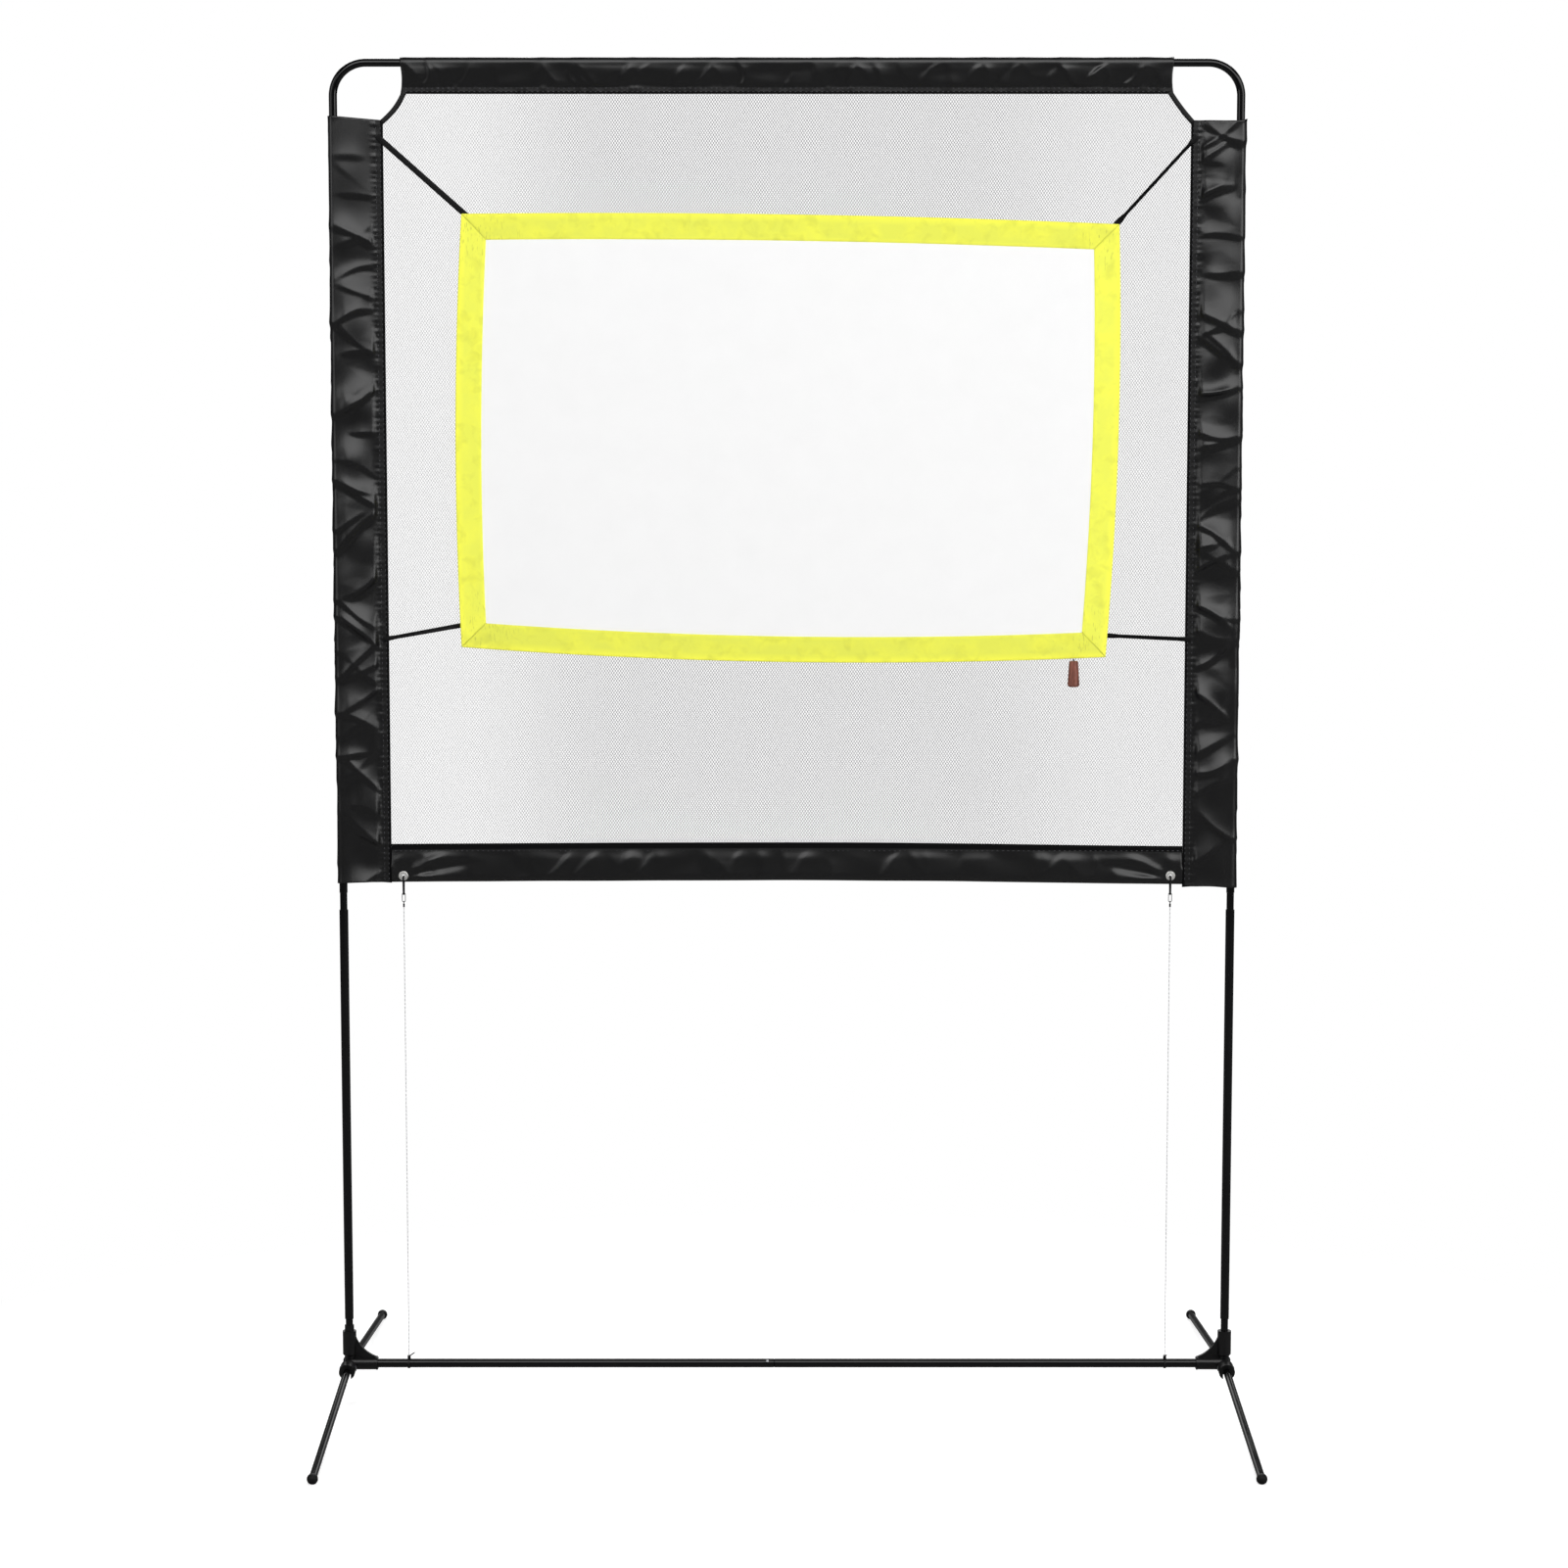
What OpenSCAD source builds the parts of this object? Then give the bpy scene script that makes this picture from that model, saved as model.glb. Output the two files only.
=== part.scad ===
// Pitching target net: a free-standing net on a tube frame, with a cloth target panel.
// +X is to the thrower's right, +Y runs behind the net, +Z is up.
// The origin is on the floor, midway between the four feet.

/* [Frame] */
// Distance between the centre lines of the two side poles
pole_spacing = 1208; // [1150:1:1300]
// Height of the frame, from the floor to the top of its top tube
frame_height = 1820; // [1780:1:1900]
// Diameter of the upper frame tubes
tube_d = 11; // [10.6:0.1:12]
// Wall of every tube
tube_wall = 1; // [0.8:0.05:1.2]
// Centre-line radius of the two top corners
corner_r = 44; // [36:1:52]
// Straight length of a corner tube below its bend
corner_drop = 60; // [45:1:90]
// Straight length of a corner tube beyond its bend
corner_reach = 80; // [60:1:110]
// Height of the joint between a side pole and its upper pole
upper_joint_z = 1250; // [1150:1:1350]
// Length of a reduced neck that sits inside the next tube
neck_len = 30; // [20:1:40]

/* [Lower poles] */
// Diameter of the lower poles
lower_pole_d = 12; // [11.6:0.1:13]
// Height of a lower pole's open end
lower_pole_top = 678; // [640:1:690]
// Length of the side pole's neck that stays in sight
neck_shown = 23; // [5:1:25]
// Length of the lower pole's bottom neck above its socket
bottom_neck_shown = 16; // [8:1:30]
// Diameter of the lower pole's bottom neck
bottom_neck_d = 10; // [9.2:0.1:10.6]
// Outer diameter of the stop collar on the left pole
collar_d = 13; // [12:0.1:15]
// Height of the stop collar
collar_h = 8; // [4:0.5:8]

/* [Crossbar] */
// Diameter of the crossbar
crossbar_d = 12.5; // [12:0.1:13.5]
// Height of the crossbar's centre line
crossbar_z = 45; // [42:0.5:50]
// Sideways place of the joint between the two halves of the crossbar
crossbar_joint_x = -18; // [-60:1:60]
// Length of the crossbar's inner neck
crossbar_neck_len = 45; // [40:1:60]

/* [Snap button] */
// Diameter of the button
button_d = 4.4; // [3.6:0.1:5]
// How far the button stands out of the crossbar
button_proud = 1.2; // [0.8:0.1:1.6]
// How far the button can be pushed in
button_travel = 2; // [1.5:0.1:2.2]
// Distance of the button from the end of the outer tube
button_inset = 9; // [7:0.5:14]
// How far the button points up from level, in degrees
button_tilt = 40; // [0:5:60]
// Diameter of the button's flange
button_flange_d = 6.2; // [5.6:0.1:6.4]

/* [Hubs] */
// Diameter of the upright socket
socket_d = 18.8; // [16:0.2:21]
// Height of the upright socket's mouth
socket_top_z = 91; // [84:1:100]
// Height at which the upright socket begins
socket_foot_z = 58; // [57:1:60]
// Height of the floor of the pole's bore
pole_seat_z = 60; // [58:1:66]
// Diameter of the crossbar's socket
bar_socket_d = 18; // [16:0.2:20]
// Distance from the pole's centre line to the mouth of the crossbar's socket
bar_socket_len = 39; // [36:1:50]
// Depth of the crossbar's bore
bar_socket_depth = 23; // [15:1:25]
// Diameter of the knuckle that joins the sockets
knuckle_d = 14; // [12:0.5:15]
// Thickness of the web between the two sockets
web_t = 5; // [3:0.5:8]
// Radius of the web's hollow edge
web_edge_r = 46; // [40:1:60]

/* [Leg hoods] */
// Diameter of the hood over each leg
hood_d = 22; // [20:0.5:24]
// Distance from the pole's centre line to the back of a hood
hood_start = 15.5; // [14:0.5:16]
// Distance from the pole's centre line to the front of a hood
hood_end = 38; // [33:1:44]
// Distance from the pole's centre line to a leg's pivot
pivot_out = 22; // [21.5:0.5:26]
// Clearance between a leg and the inside of its hood
leg_gap = 0.4; // [0.3:0.1:0.6]

/* [Legs] */
// Diameter of a leg
leg_d = 10; // [9:0.1:11]
// Length of a leg from its pivot to the centre of its foot cap
leg_len = 390; // [330:1:450]
// Diameter of the pivot pins
pin_d = 4; // [3:0.1:5]
// Diameter of the pins' heads
pin_head_d = 7; // [6:0.1:8]
// Height of the pins' heads
pin_head_h = 1.6; // [1:0.1:2]

/* [Foot caps] */
// Diameter of the round foot caps
foot_d = 14.4; // [13:0.1:18]
// Diameter of the flat under each foot cap
foot_flat_d = 6.6; // [4:0.1:8]

/* [Net] */
// Thickness of the net
net_t = 1.2; // [0.8:0.1:1.6]
// Width of one strand
strand_w = 1.6; // [1:0.1:2.4]
// Width of one diamond of the net
cell_w = 100; // [90:1:140]
// Height of one diamond of the net
cell_h = 125; // [110:1:170]
// Width of the net's selvage
selvage_w = 4; // [2:0.5:8]
// How far along the top each corner of the net is cut back
net_cut_w = 32.5; // [24:0.5:40]
// How far down the side each corner of the net is cut back
net_cut_h = 41.5; // [34:0.5:50]

/* [Sleeves] */
// Distance from a side pole's centre line to its sleeve's sewn edge
sleeve_reach = 66; // [55:1:80]
// Width of the side sleeves' sewn band
side_seam_w = 10.5; // [7:0.5:14]
// Height of the side sleeves' lower ends
sleeve_bottom_z = 713; // [706:1:730]
// Distance from the frame's top down to the side sleeves' upper ends
sleeve_top_drop = 79; // [75:1:110]
// Distance from the top tube's centre line down to the top sleeve's sewn edge
top_sleeve_reach = 41; // [34:1:44]
// Width of the top sleeve's sewn band
top_seam_w = 8.5; // [6:0.5:12]
// Distance from a pole's centre line to the top sleeve's end
top_sleeve_inset = 90; // [84:1:110]
// Thickness of the sleeves' cloth
cloth_t = 1; // [0.8:0.1:1.2]
// Half thickness of a sewn band
seam_half_t = 1.4; // [1.2:0.1:1.8]
// Looseness of the cloth round a tube
cloth_slack = 0.9; // [0.6:0.1:1.2]
// Depth of the creases across the sleeves
crease_depth = 1.8; // [0:0.1:2.2]
// Distance from one main crease to the next
crease_pitch = 205; // [180:5:260]

/* [Bottom band] */
// Height of the bottom band
band_h = 52; // [44:1:70]
// Height of the bottom band's lower edge
band_bottom_z = 716; // [714:1:732]
// Half thickness of the bottom band
band_half_t = 1.6; // [1.4:0.1:2]

/* [Grommets and ties] */
// Distance from a pole's centre line to its grommet
grommet_inset = 82; // [76:1:100]
// Height of the grommets above the band's lower edge
grommet_up = 8.5; // [8:0.5:14]
// Diameter of the grommets' flanges
grommet_d = 13; // [11:0.5:14]
// Diameter of the hole through a grommet
grommet_hole_d = 4.4; // [4.2:0.1:5]
// Thickness of a grommet's flanges
grommet_flange_t = 0.8; // [0.6:0.1:1]
// Diameter of the loop cords
loop_cord_d = 2; // [1.6:0.1:2.2]
// Diameter of the thin cords that run down to the crossbar
line_d = 1.2; // [0.8:0.1:2]
// Wire diameter of the snaps
snap_wire_d = 0.9; // [0.7:0.1:1.1]
// Width of a snap between its wires' centre lines
snap_w = 4.2; // [3.8:0.1:6]
// Height of a snap between its wires' centre lines
snap_h = 12.5; // [10:0.5:16]
// Diameter of the swivels' barrels
swivel_d = 2.4; // [2:0.1:3]
// Length of the swivels' barrels
swivel_len = 4.6; // [3:0.1:7]
// Width of the cable ties
tie_w = 2.8; // [2.2:0.1:4]
// Thickness of the cable ties' straps
tie_t = 1.1; // [0.8:0.1:1.6]
// Length of the cut tail of the left cable tie
left_tail = 7.5; // [2:0.5:14]
// Length of the cut tail of the right cable tie
right_tail = 1.5; // [1:0.5:14]

/* [Target panel] */
// Half width of the panel, halfway between its top and foot corners
panel_half_w = 437; // [400:1:460]
// Distance from the frame's top down to the panel's top corners
panel_top_drop = 211; // [180:1:240]
// Height of the panel between its corners
panel_h = 579; // [550:1:610]
// How far the panel's lower edge sags at its middle
panel_sag = 13.5; // [0:0.5:20]
// How far the panel's top edge arches up at its middle
panel_crown = 6; // [0:0.5:8]
// How far the panel's sides bow out at their middle
panel_bow = 8; // [0:0.5:10]
// How much wider each half of the panel is at its top than at its foot
panel_flare = 4; // [0:0.5:8]
// How far out of level the panel hangs, its right side low, in degrees
panel_tilt = 0.9; // [0:0.1:1.2]
// Width of the coloured border
border_w = 35; // [25:1:45]
// Thickness of the border, front to back
border_t = 4; // [3.4:0.1:5]
// Thickness of one layer of the border
border_layer_t = 1; // [0.7:0.1:1.1]
// Thickness of the panel's sheet
sheet_t = 1.4; // [1:0.1:1.4]

/* [Straps] */
// Width of the two upper straps
top_strap_w = 7; // [5:0.5:10]
// Width of the two lower straps
bottom_strap_w = 5; // [4:0.5:8]
// Thickness of the straps
strap_t = 1.5; // [1:0.1:2]
// Distance from the frame's top down to the upper straps' outer ends
top_strap_drop = 102; // [98:1:130]
// How far inside the panel's top corner an upper strap is sewn on
top_strap_in = 4; // [0:0.5:10]
// How far above the panel's lower corners the lower straps' outer ends are
bottom_strap_rise = 17; // [-20:1:60]
// How far above the panel's lower corner a lower strap is sewn on
bottom_strap_up = 29; // [14:1:60]
// How far each strap runs under the border
strap_tuck = 18; // [12:1:26]
// How far each strap laps the sleeve's sewn band
strap_lap = 8; // [4:0.5:9]

/* [Toggle] */
// Distance of the wooden toggle from the net's middle
toggle_x = 387; // [-350:1:390]
// Length of the toggle
toggle_len = 35; // [28:1:50]
// Diameter of the toggle's top
toggle_top_d = 12.2; // [10:0.1:14]
// Diameter of the toggle's foot
toggle_foot_d = 16.2; // [12:0.1:17]
// Distance from the border's edge down to the toggle's top
toggle_drop = 3; // [2.8:0.1:8]
// Diameter of the toggle's cord
toggle_cord_d = 2.2; // [1.8:0.1:2.6]

/* [Clearances] */
// Radial clearance of tubes and pins pushed into one another
push_gap = 0.05; // [0.02:0.01:0.08]
// Gap that cloth keeps from what it is sewn or laid on
soft_gap = 0.3; // [0.2:0.05:0.4]

/* [Hidden] */

$fn = 48;
black = [0.09, 0.09, 0.095];
cloth_black = [0.13, 0.13, 0.14];
steel = [0.75, 0.75, 0.77];
lime = [0.95, 0.97, 0.38];
white = [0.96, 0.96, 0.96];
brown = [0.45, 0.27, 0.24];

pole_x = pole_spacing / 2;
top_z = frame_height - tube_d / 2;
neck_d = tube_d - 2 * tube_wall - 2 * push_gap;
side_neck_d = lower_pole_d - 2 * tube_wall - 2 * push_gap;
side_shoulder_z = lower_pole_top + neck_shown;
corner_end_z = top_z - corner_r - corner_drop;
corner_end_x = pole_x - corner_r - corner_reach;
bottom_neck_top = socket_top_z + bottom_neck_shown;
bar_end_x = pole_x - bar_socket_len + bar_socket_depth;
crossbar_neck_d = crossbar_d - 2 * tube_wall - 2 * push_gap;
button_x = crossbar_joint_x - button_inset;
flange_r = button_flange_d / 2;
neck_bore_r = crossbar_neck_d / 2 - tube_wall;
flange_top = sqrt(pow(neck_bore_r - 0.15, 2) - pow(flange_r, 2));
flange_t = 0.8;

foot_r = foot_d / 2;
foot_z = sqrt(pow(foot_r, 2) - pow(foot_flat_d / 2, 2));
leg_slope = asin((crossbar_z - foot_z) / (pivot_out + leg_len));

sleeve_top_z = frame_height - sleeve_top_drop;
panel_top_z = frame_height - panel_top_drop;
panel_bottom_z = panel_top_z - panel_h;
panel_mid_z = panel_top_z - panel_h / 2;
top_strap_z = frame_height - top_strap_drop;
bottom_strap_z = panel_bottom_z + bottom_strap_rise;

net_half_w = pole_x - sleeve_reach - soft_gap;
net_top_z = top_z - top_sleeve_reach - soft_gap;
band_top_z = band_bottom_z + band_h;
net_bottom_z = band_top_z + soft_gap;
top_sleeve_half = pole_x - top_sleeve_inset;
grommet_x = pole_x - grommet_inset;
grommet_z = band_bottom_z + grommet_up;
flange_face = band_half_t + push_gap + grommet_flange_t;

strap_front = -seam_half_t - soft_gap - strap_t;
border_back = strap_front - soft_gap;
border_mid = border_back - border_t / 2;
// how far the sheet's edge lies inside the border's outer edge
sheet_inset = 2;
loop_cord_r = loop_cord_d / 2;
line_r = line_d / 2;
wire_r = snap_wire_d / 2;

pin_seat = hood_d / 2 - 0.8;
strap_end_x = net_half_w + soft_gap + strap_lap;

// a loop's strands hang on both sides of the band and meet in a bight below it
loop_y = flange_face + soft_gap + loop_cord_r + 0.3;
loop_top_z = grommet_z - (grommet_hole_d / 2 - loop_cord_r - 0.3);
bight_r = 2.3;
bight_z = band_bottom_z - 14.5;
loop_low_z = bight_z - bight_r;
snap_top_z = loop_low_z + loop_cord_r + wire_r + 0.25;
snap_low_z = snap_top_z - snap_h;
eye_r = 1.7;
eye_wire_r = 0.4;
eye_z = snap_low_z + wire_r + eye_wire_r + 0.25 - eye_r;
swivel_top_z = eye_z - eye_r;
swivel_low_z = swivel_top_z - swivel_len;
tie_bore_r = crossbar_d / 2 + push_gap;
tie_head_z = crossbar_z + tie_bore_r;
tie_head_h = 4.6;

// ---- helpers ----

// The same thing on the left (side -1) or on the right (side 1), built for the left
module on_side(side) {
    if (side < 0) children();
    else mirror([1, 0, 0]) children();
}

// The same thing at the front (end -1) or at the rear (end 1), built for the front
module at_end(end) {
    if (end < 0) children();
    else mirror([0, 1, 0]) children();
}

// A hollow tube along Z from z = 0 up to z = len
module tube(d, len, wall = tube_wall) {
    difference() {
        cylinder(d = d, h = len);
        translate([0, 0, -1]) cylinder(d = d - 2 * wall, h = len + 2);
    }
}

// A hollow tube whose lower end, neck_h long, is drawn in to the diameter small_d
module necked_tube(d, len, small_d, neck_h, wall = tube_wall) {
    shoulder = (d - small_d) / 2;
    rotate_extrude() polygon([
        [small_d / 2 - wall, -neck_h],
        [small_d / 2, -neck_h],
        [small_d / 2, 0],
        [d / 2, shoulder],
        [d / 2, len],
        [d / 2 - wall, len],
        [d / 2 - wall, shoulder + wall],
        [small_d / 2 - wall, wall],
    ]);
}

// One ring of a round tube at a point of a path in the YZ plane, square to the way along it
function yz_ring(p, way, r, sides) =
    let (across = [-way[1], way[0]] / norm(way))
    [for (k = [0 : sides - 1]) let (a = 360 * k / sides)
        [-r * sin(a), p[0] + across[0] * r * cos(a), p[1] + across[1] * r * cos(a)]];

// A closed loop of round cord along points in the YZ plane
module cord_loop(points, r, sides) {
    n = len(points);
    rings = [for (i = [0 : n - 1])
        each yz_ring(points[i], points[(i + 1) % n] - points[(i + n - 1) % n], r, sides)];
    faces = [for (i = [0 : n - 1], k = [0 : sides - 1])
        let (a = i * sides, b = (i + 1) % n * sides, m = (k + 1) % sides)
        each [[a + k, a + m, b + m], [a + k, b + m, b + k]]];
    polyhedron(points = rings, faces = faces);
}

// An open run of round cord along points in the YZ plane
module cord_run(points, r, sides) {
    n = len(points);
    rings = [for (i = [0 : n - 1])
        each yz_ring(points[i], points[min(i + 1, n - 1)] - points[max(i - 1, 0)], r, sides)];
    walls = [for (i = [0 : n - 2], k = [0 : sides - 1])
        let (a = i * sides, b = (i + 1) * sides, m = (k + 1) % sides)
        each [[a + k, a + m, b + m], [a + k, b + m, b + k]]];
    first = [for (k = [1 : sides - 2]) [0, k + 1, k]];
    last = [for (k = [1 : sides - 2]) (n - 1) * sides * [1, 1, 1] + [0, k, k + 1]];
    polyhedron(points = rings, faces = concat(walls, first, last));
}

// ---- poles and top tubes ----

module lower_pole(side) {
    color(black) on_side(side) translate([-pole_x, 0, bottom_neck_top])
        necked_tube(lower_pole_d, lower_pole_top - bottom_neck_top, bottom_neck_d,
            bottom_neck_top - pole_seat_z);
}

module side_pole(side) {
    color(black) on_side(side) translate([-pole_x, 0, side_shoulder_z])
        necked_tube(tube_d, upper_joint_z - side_shoulder_z, side_neck_d, neck_shown + neck_len);
}

module upper_pole(side) {
    color(black) on_side(side) translate([-pole_x, 0, upper_joint_z])
        necked_tube(tube_d, corner_end_z - upper_joint_z, neck_d, neck_len);
}

// A bent tube: a neck into the upper pole, the drop, the bend and the reach along the top
module corner_tube(side) {
    color(black) on_side(side) {
        translate([-pole_x, 0, corner_end_z]) necked_tube(tube_d, corner_drop, neck_d, neck_len);
        translate([corner_r - pole_x, 0, top_z - corner_r]) rotate([90, 0, 0])
            rotate_extrude(angle = 90, start = 90) translate([corner_r, 0]) difference() {
                circle(d = tube_d);
                circle(d = tube_d - 2 * tube_wall);
            }
        translate([corner_r - pole_x, 0, top_z]) rotate([0, 90, 0]) tube(tube_d, corner_reach);
    }
}

// Half of the top tube: its neck goes into the corner tube. The right half has a second
// neck that goes into the left half at the middle.
module top_tube(side) {
    color(black) on_side(side) translate([-corner_end_x, 0, top_z]) rotate([0, 90, 0]) {
        necked_tube(tube_d, side > 0 ? corner_end_x / 2 : corner_end_x, neck_d, neck_len);
        if (side > 0) translate([0, 0, corner_end_x]) mirror([0, 0, 1])
            necked_tube(tube_d, corner_end_x / 2, neck_d, neck_len);
    }
}

// ---- crossbar ----

module toward_button() {
    translate([button_x, 0, crossbar_z]) rotate([90 - button_tilt, 0, 0]) children();
}

module crossbar_left() {
    color(black) difference() {
        translate([-bar_end_x, 0, crossbar_z]) rotate([0, 90, 0])
            tube(crossbar_d, bar_end_x + crossbar_joint_x);
        toward_button() cylinder(d = button_d + 4 * push_gap, h = crossbar_d);
    }
}

module crossbar_right() {
    color(black) difference() {
        translate([crossbar_joint_x, 0, crossbar_z]) rotate([0, 90, 0])
            necked_tube(crossbar_d, bar_end_x - crossbar_joint_x, crossbar_neck_d, crossbar_neck_len);
        toward_button() cylinder(d = button_d + 4 * push_gap, h = crossbar_d);
    }
}

// The button's flange rests under the wall of the neck
module crossbar_button() {
    top = crossbar_d / 2 + button_proud;
    color(steel) toward_button() rotate_extrude() polygon([
        [0, flange_top - flange_t],
        [flange_r, flange_top - flange_t],
        [flange_r, flange_top],
        [button_d / 2, flange_top],
        [button_d / 2, top - 0.6],
        [button_d / 2 - 0.35, top - 0.2],
        [button_d / 2 - 1, top],
        [0, top],
    ]);
}

// A bent leaf of spring steel that pushes the button out
module button_spring() {
    t = 0.5;
    w = 3.6;
    reach = 26;
    seat = flange_top - flange_t - push_gap;
    low = -(neck_bore_r - 1);
    color(steel) toward_button() rotate([90, 0, 0]) translate([0, 0, -w / 2])
        linear_extrude(w) polygon([
            [flange_r, seat], [-flange_r, seat], [-reach, low / 2 + t / 2 + 0.4],
            [-reach - 1.2, low / 2], [-reach, low / 2 - t / 2 - 0.4], [flange_r, low],
            [flange_r, low + t], [-reach + 0.3, low / 2 + t / 2 - 0.4],
            [-reach - 0.5, low / 2], [-reach + 0.3, low / 2 - t / 2 + 0.4],
            [-flange_r, seat - t], [flange_r, seat - t],
        ]);
}

// ---- hubs and pins ----

// Local Z runs out along a leg from the hub's centre, local Y is up from the leg
module along_leg() {
    translate([0, 0, crossbar_z]) rotate([90 + leg_slope, 0, 0]) children();
}

// The web fills the corner between the sockets, with a hollow edge
module hub_web() {
    low = crossbar_z + bar_socket_d / 2;
    out = socket_d / 2;
    start = [out - 0.4, socket_top_z - 9];
    finish = [bar_socket_len, low];
    chord = finish - start;
    sag_to_centre = sqrt(pow(web_edge_r, 2) - pow(norm(chord) / 2, 2));
    centre = (start + finish) / 2 + sag_to_centre * [-chord[1], chord[0]] / norm(chord);
    translate([0, web_t / 2, 0]) rotate([90, 0, 0]) linear_extrude(web_t) difference() {
        polygon([[0, crossbar_z], [bar_socket_len, crossbar_z], finish, start, [0, start[1]]]);
        translate(centre) circle(r = web_edge_r, $fn = 96);
    }
}

// The hood over one leg, with a drawn-in back
module hood() {
    rotate_extrude() polygon([
        [0, 0],
        [knuckle_d / 2, 0],
        [knuckle_d / 2, hood_start - 3],
        [hood_d / 2 - 0.8, hood_start],
        [hood_d / 2, hood_start + 1.5],
        [hood_d / 2, hood_end - 1],
        [hood_d / 2 - 0.6, hood_end],
        [0, hood_end],
    ]);
}

// The room that a leg needs to fold down out of its hood
module leg_room() {
    half = leg_d / 2 + leg_gap;
    translate([0, 0, pivot_out]) cylinder(r = half, h = hood_end);
    translate([-half, -hood_d, pivot_out - half]) cube([2 * half, hood_d, hood_end]);
    translate([-half, 0, pivot_out]) rotate([0, 90, 0]) cylinder(r = half, h = 2 * half);
}

module pin_bore() {
    rotate([0, 90, 0]) {
        cylinder(r = pin_d / 2 + push_gap, h = 2 * hood_d, center = true);
        for (m = [0, 1]) mirror([0, 0, m]) translate([0, 0, pin_seat])
            cylinder(d = pin_head_d + 1, h = hood_d);
    }
}

module hub(side) {
    color(black) on_side(side) translate([-pole_x, 0, 0]) difference() {
        union() {
            translate([0, 0, socket_foot_z]) cylinder(d = socket_d, h = socket_top_z - socket_foot_z);
            translate([0, 0, socket_foot_z - 2.4])
                cylinder(d1 = knuckle_d, d2 = socket_d, h = 2.4);
            translate([0, 0, crossbar_z]) cylinder(d = knuckle_d, h = pole_seat_z - crossbar_z);
            translate([0, 0, crossbar_z]) rotate([0, 90, 0]) {
                cylinder(d = bar_socket_d, h = bar_socket_len);
                translate([0, 0, bar_socket_len - 2.5]) cylinder(d = bar_socket_d + 0.8, h = 2.5);
            }
            translate([0, 0, crossbar_z]) sphere(d = knuckle_d + 2);
            hub_web();
            for (end = [-1, 1]) at_end(end) along_leg() hood();
        }
        translate([0, 0, pole_seat_z]) cylinder(d = bottom_neck_d + 2 * push_gap, h = socket_top_z);
        translate([bar_socket_len - bar_socket_depth, 0, crossbar_z]) rotate([0, 90, 0])
            cylinder(d = crossbar_d + 2 * push_gap, h = bar_socket_depth + 10);
        for (end = [-1, 1]) at_end(end) along_leg() {
            leg_room();
            translate([0, 0, pivot_out]) pin_bore();
        }
    }
}

// The two pins that the legs of one hub turn on, with domed heads
module pivot_pins(side) {
    color(steel) on_side(side) translate([-pole_x, 0, 0]) for (end = [-1, 1]) at_end(end)
        along_leg() translate([0, 0, pivot_out]) rotate([0, 90, 0]) {
            cylinder(d = pin_d, h = 2 * pin_seat, center = true);
            for (m = [0, 1]) mirror([0, 0, m]) translate([0, 0, pin_seat]) rotate_extrude() polygon([
                [0, 0], [pin_head_d / 2, 0], [pin_head_d / 2, pin_head_h * 0.35],
                [pin_head_d * 0.38, pin_head_h * 0.8], [pin_head_d * 0.2, pin_head_h], [0, pin_head_h],
            ]);
        }
}

// The stop collar on the left pole's bottom neck
module pole_collar() {
    color(black) translate([-pole_x, 0, socket_top_z]) difference() {
        cylinder(d = collar_d, h = collar_h);
        translate([0, 0, -1]) cylinder(d = bottom_neck_d + 2 * push_gap, h = collar_h + 2);
    }
}

// ---- legs and foot caps ----

// A tube with a rounded eye at its pivot and its open end in the foot cap
module leg(side, end) {
    color(black) on_side(side) translate([-pole_x, 0, 0]) at_end(end) along_leg()
        translate([0, 0, pivot_out]) difference() {
            union() {
                sphere(d = leg_d);
                cylinder(d = leg_d, h = leg_len);
            }
            translate([0, 0, leg_d]) cylinder(d = leg_d - 2 * tube_wall, h = leg_len);
            rotate([0, 90, 0]) cylinder(r = pin_d / 2 + push_gap, h = 2 * leg_d, center = true);
        }
}

module foot_cap(side, end) {
    color(black) on_side(side) translate([-pole_x, 0, 0]) at_end(end) difference() {
        along_leg() translate([0, 0, pivot_out + leg_len]) difference() {
            sphere(r = foot_r);
            translate([0, 0, -foot_d]) cylinder(d = leg_d + 2 * push_gap, h = foot_d);
        }
        translate([-foot_d, -2 * leg_len, -foot_d]) cube([2 * foot_d, 3 * leg_len, foot_d]);
    }
}

// ---- net ----

// The net's outline, drawn in by a distance on every side
function net_outline(inset) =
    let (
        cut = norm([net_cut_w, net_cut_h]),
        cut_shift = inset * cut,
        right = net_half_w - inset,
        low = net_bottom_z + inset,
        high = net_top_z - inset,
        // the slanted edge: net_cut_h * x + net_cut_w * z = cut_line
        cut_line = net_cut_h * net_half_w + net_cut_w * (net_top_z - net_cut_h) - cut_shift,
        cut_x = (cut_line - net_cut_w * high) / net_cut_h,
        cut_z = (cut_line - net_cut_h * right) / net_cut_w
    )
    [[-right, low], [right, low], [right, cut_z], [cut_x, high], [-cut_x, high], [-right, cut_z]];

// Crossed diagonal strands over the whole window, cell_w by cell_h to a diamond
module strands() {
    middle = [0, (net_top_z + net_bottom_z) / 2];
    slope = atan2(cell_h, cell_w);
    reach = norm([2 * net_half_w, net_top_z - net_bottom_z]);
    step = cell_w * sin(slope);
    count = ceil(reach / 2 / step);
    translate(middle) for (turn = [-slope, slope], i = [-count : count])
        rotate(turn) translate([0, (i + 0.5) * step]) square([reach, strand_w], center = true);
}

module net() {
    color(cloth_black) translate([0, net_t / 2, 0]) rotate([90, 0, 0]) linear_extrude(net_t) {
        intersection() {
            polygon(net_outline(selvage_w / 2));
            strands();
        }
        difference() {
            polygon(net_outline(0));
            polygon(net_outline(selvage_w));
        }
    }
}

// ---- sleeves ----

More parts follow.
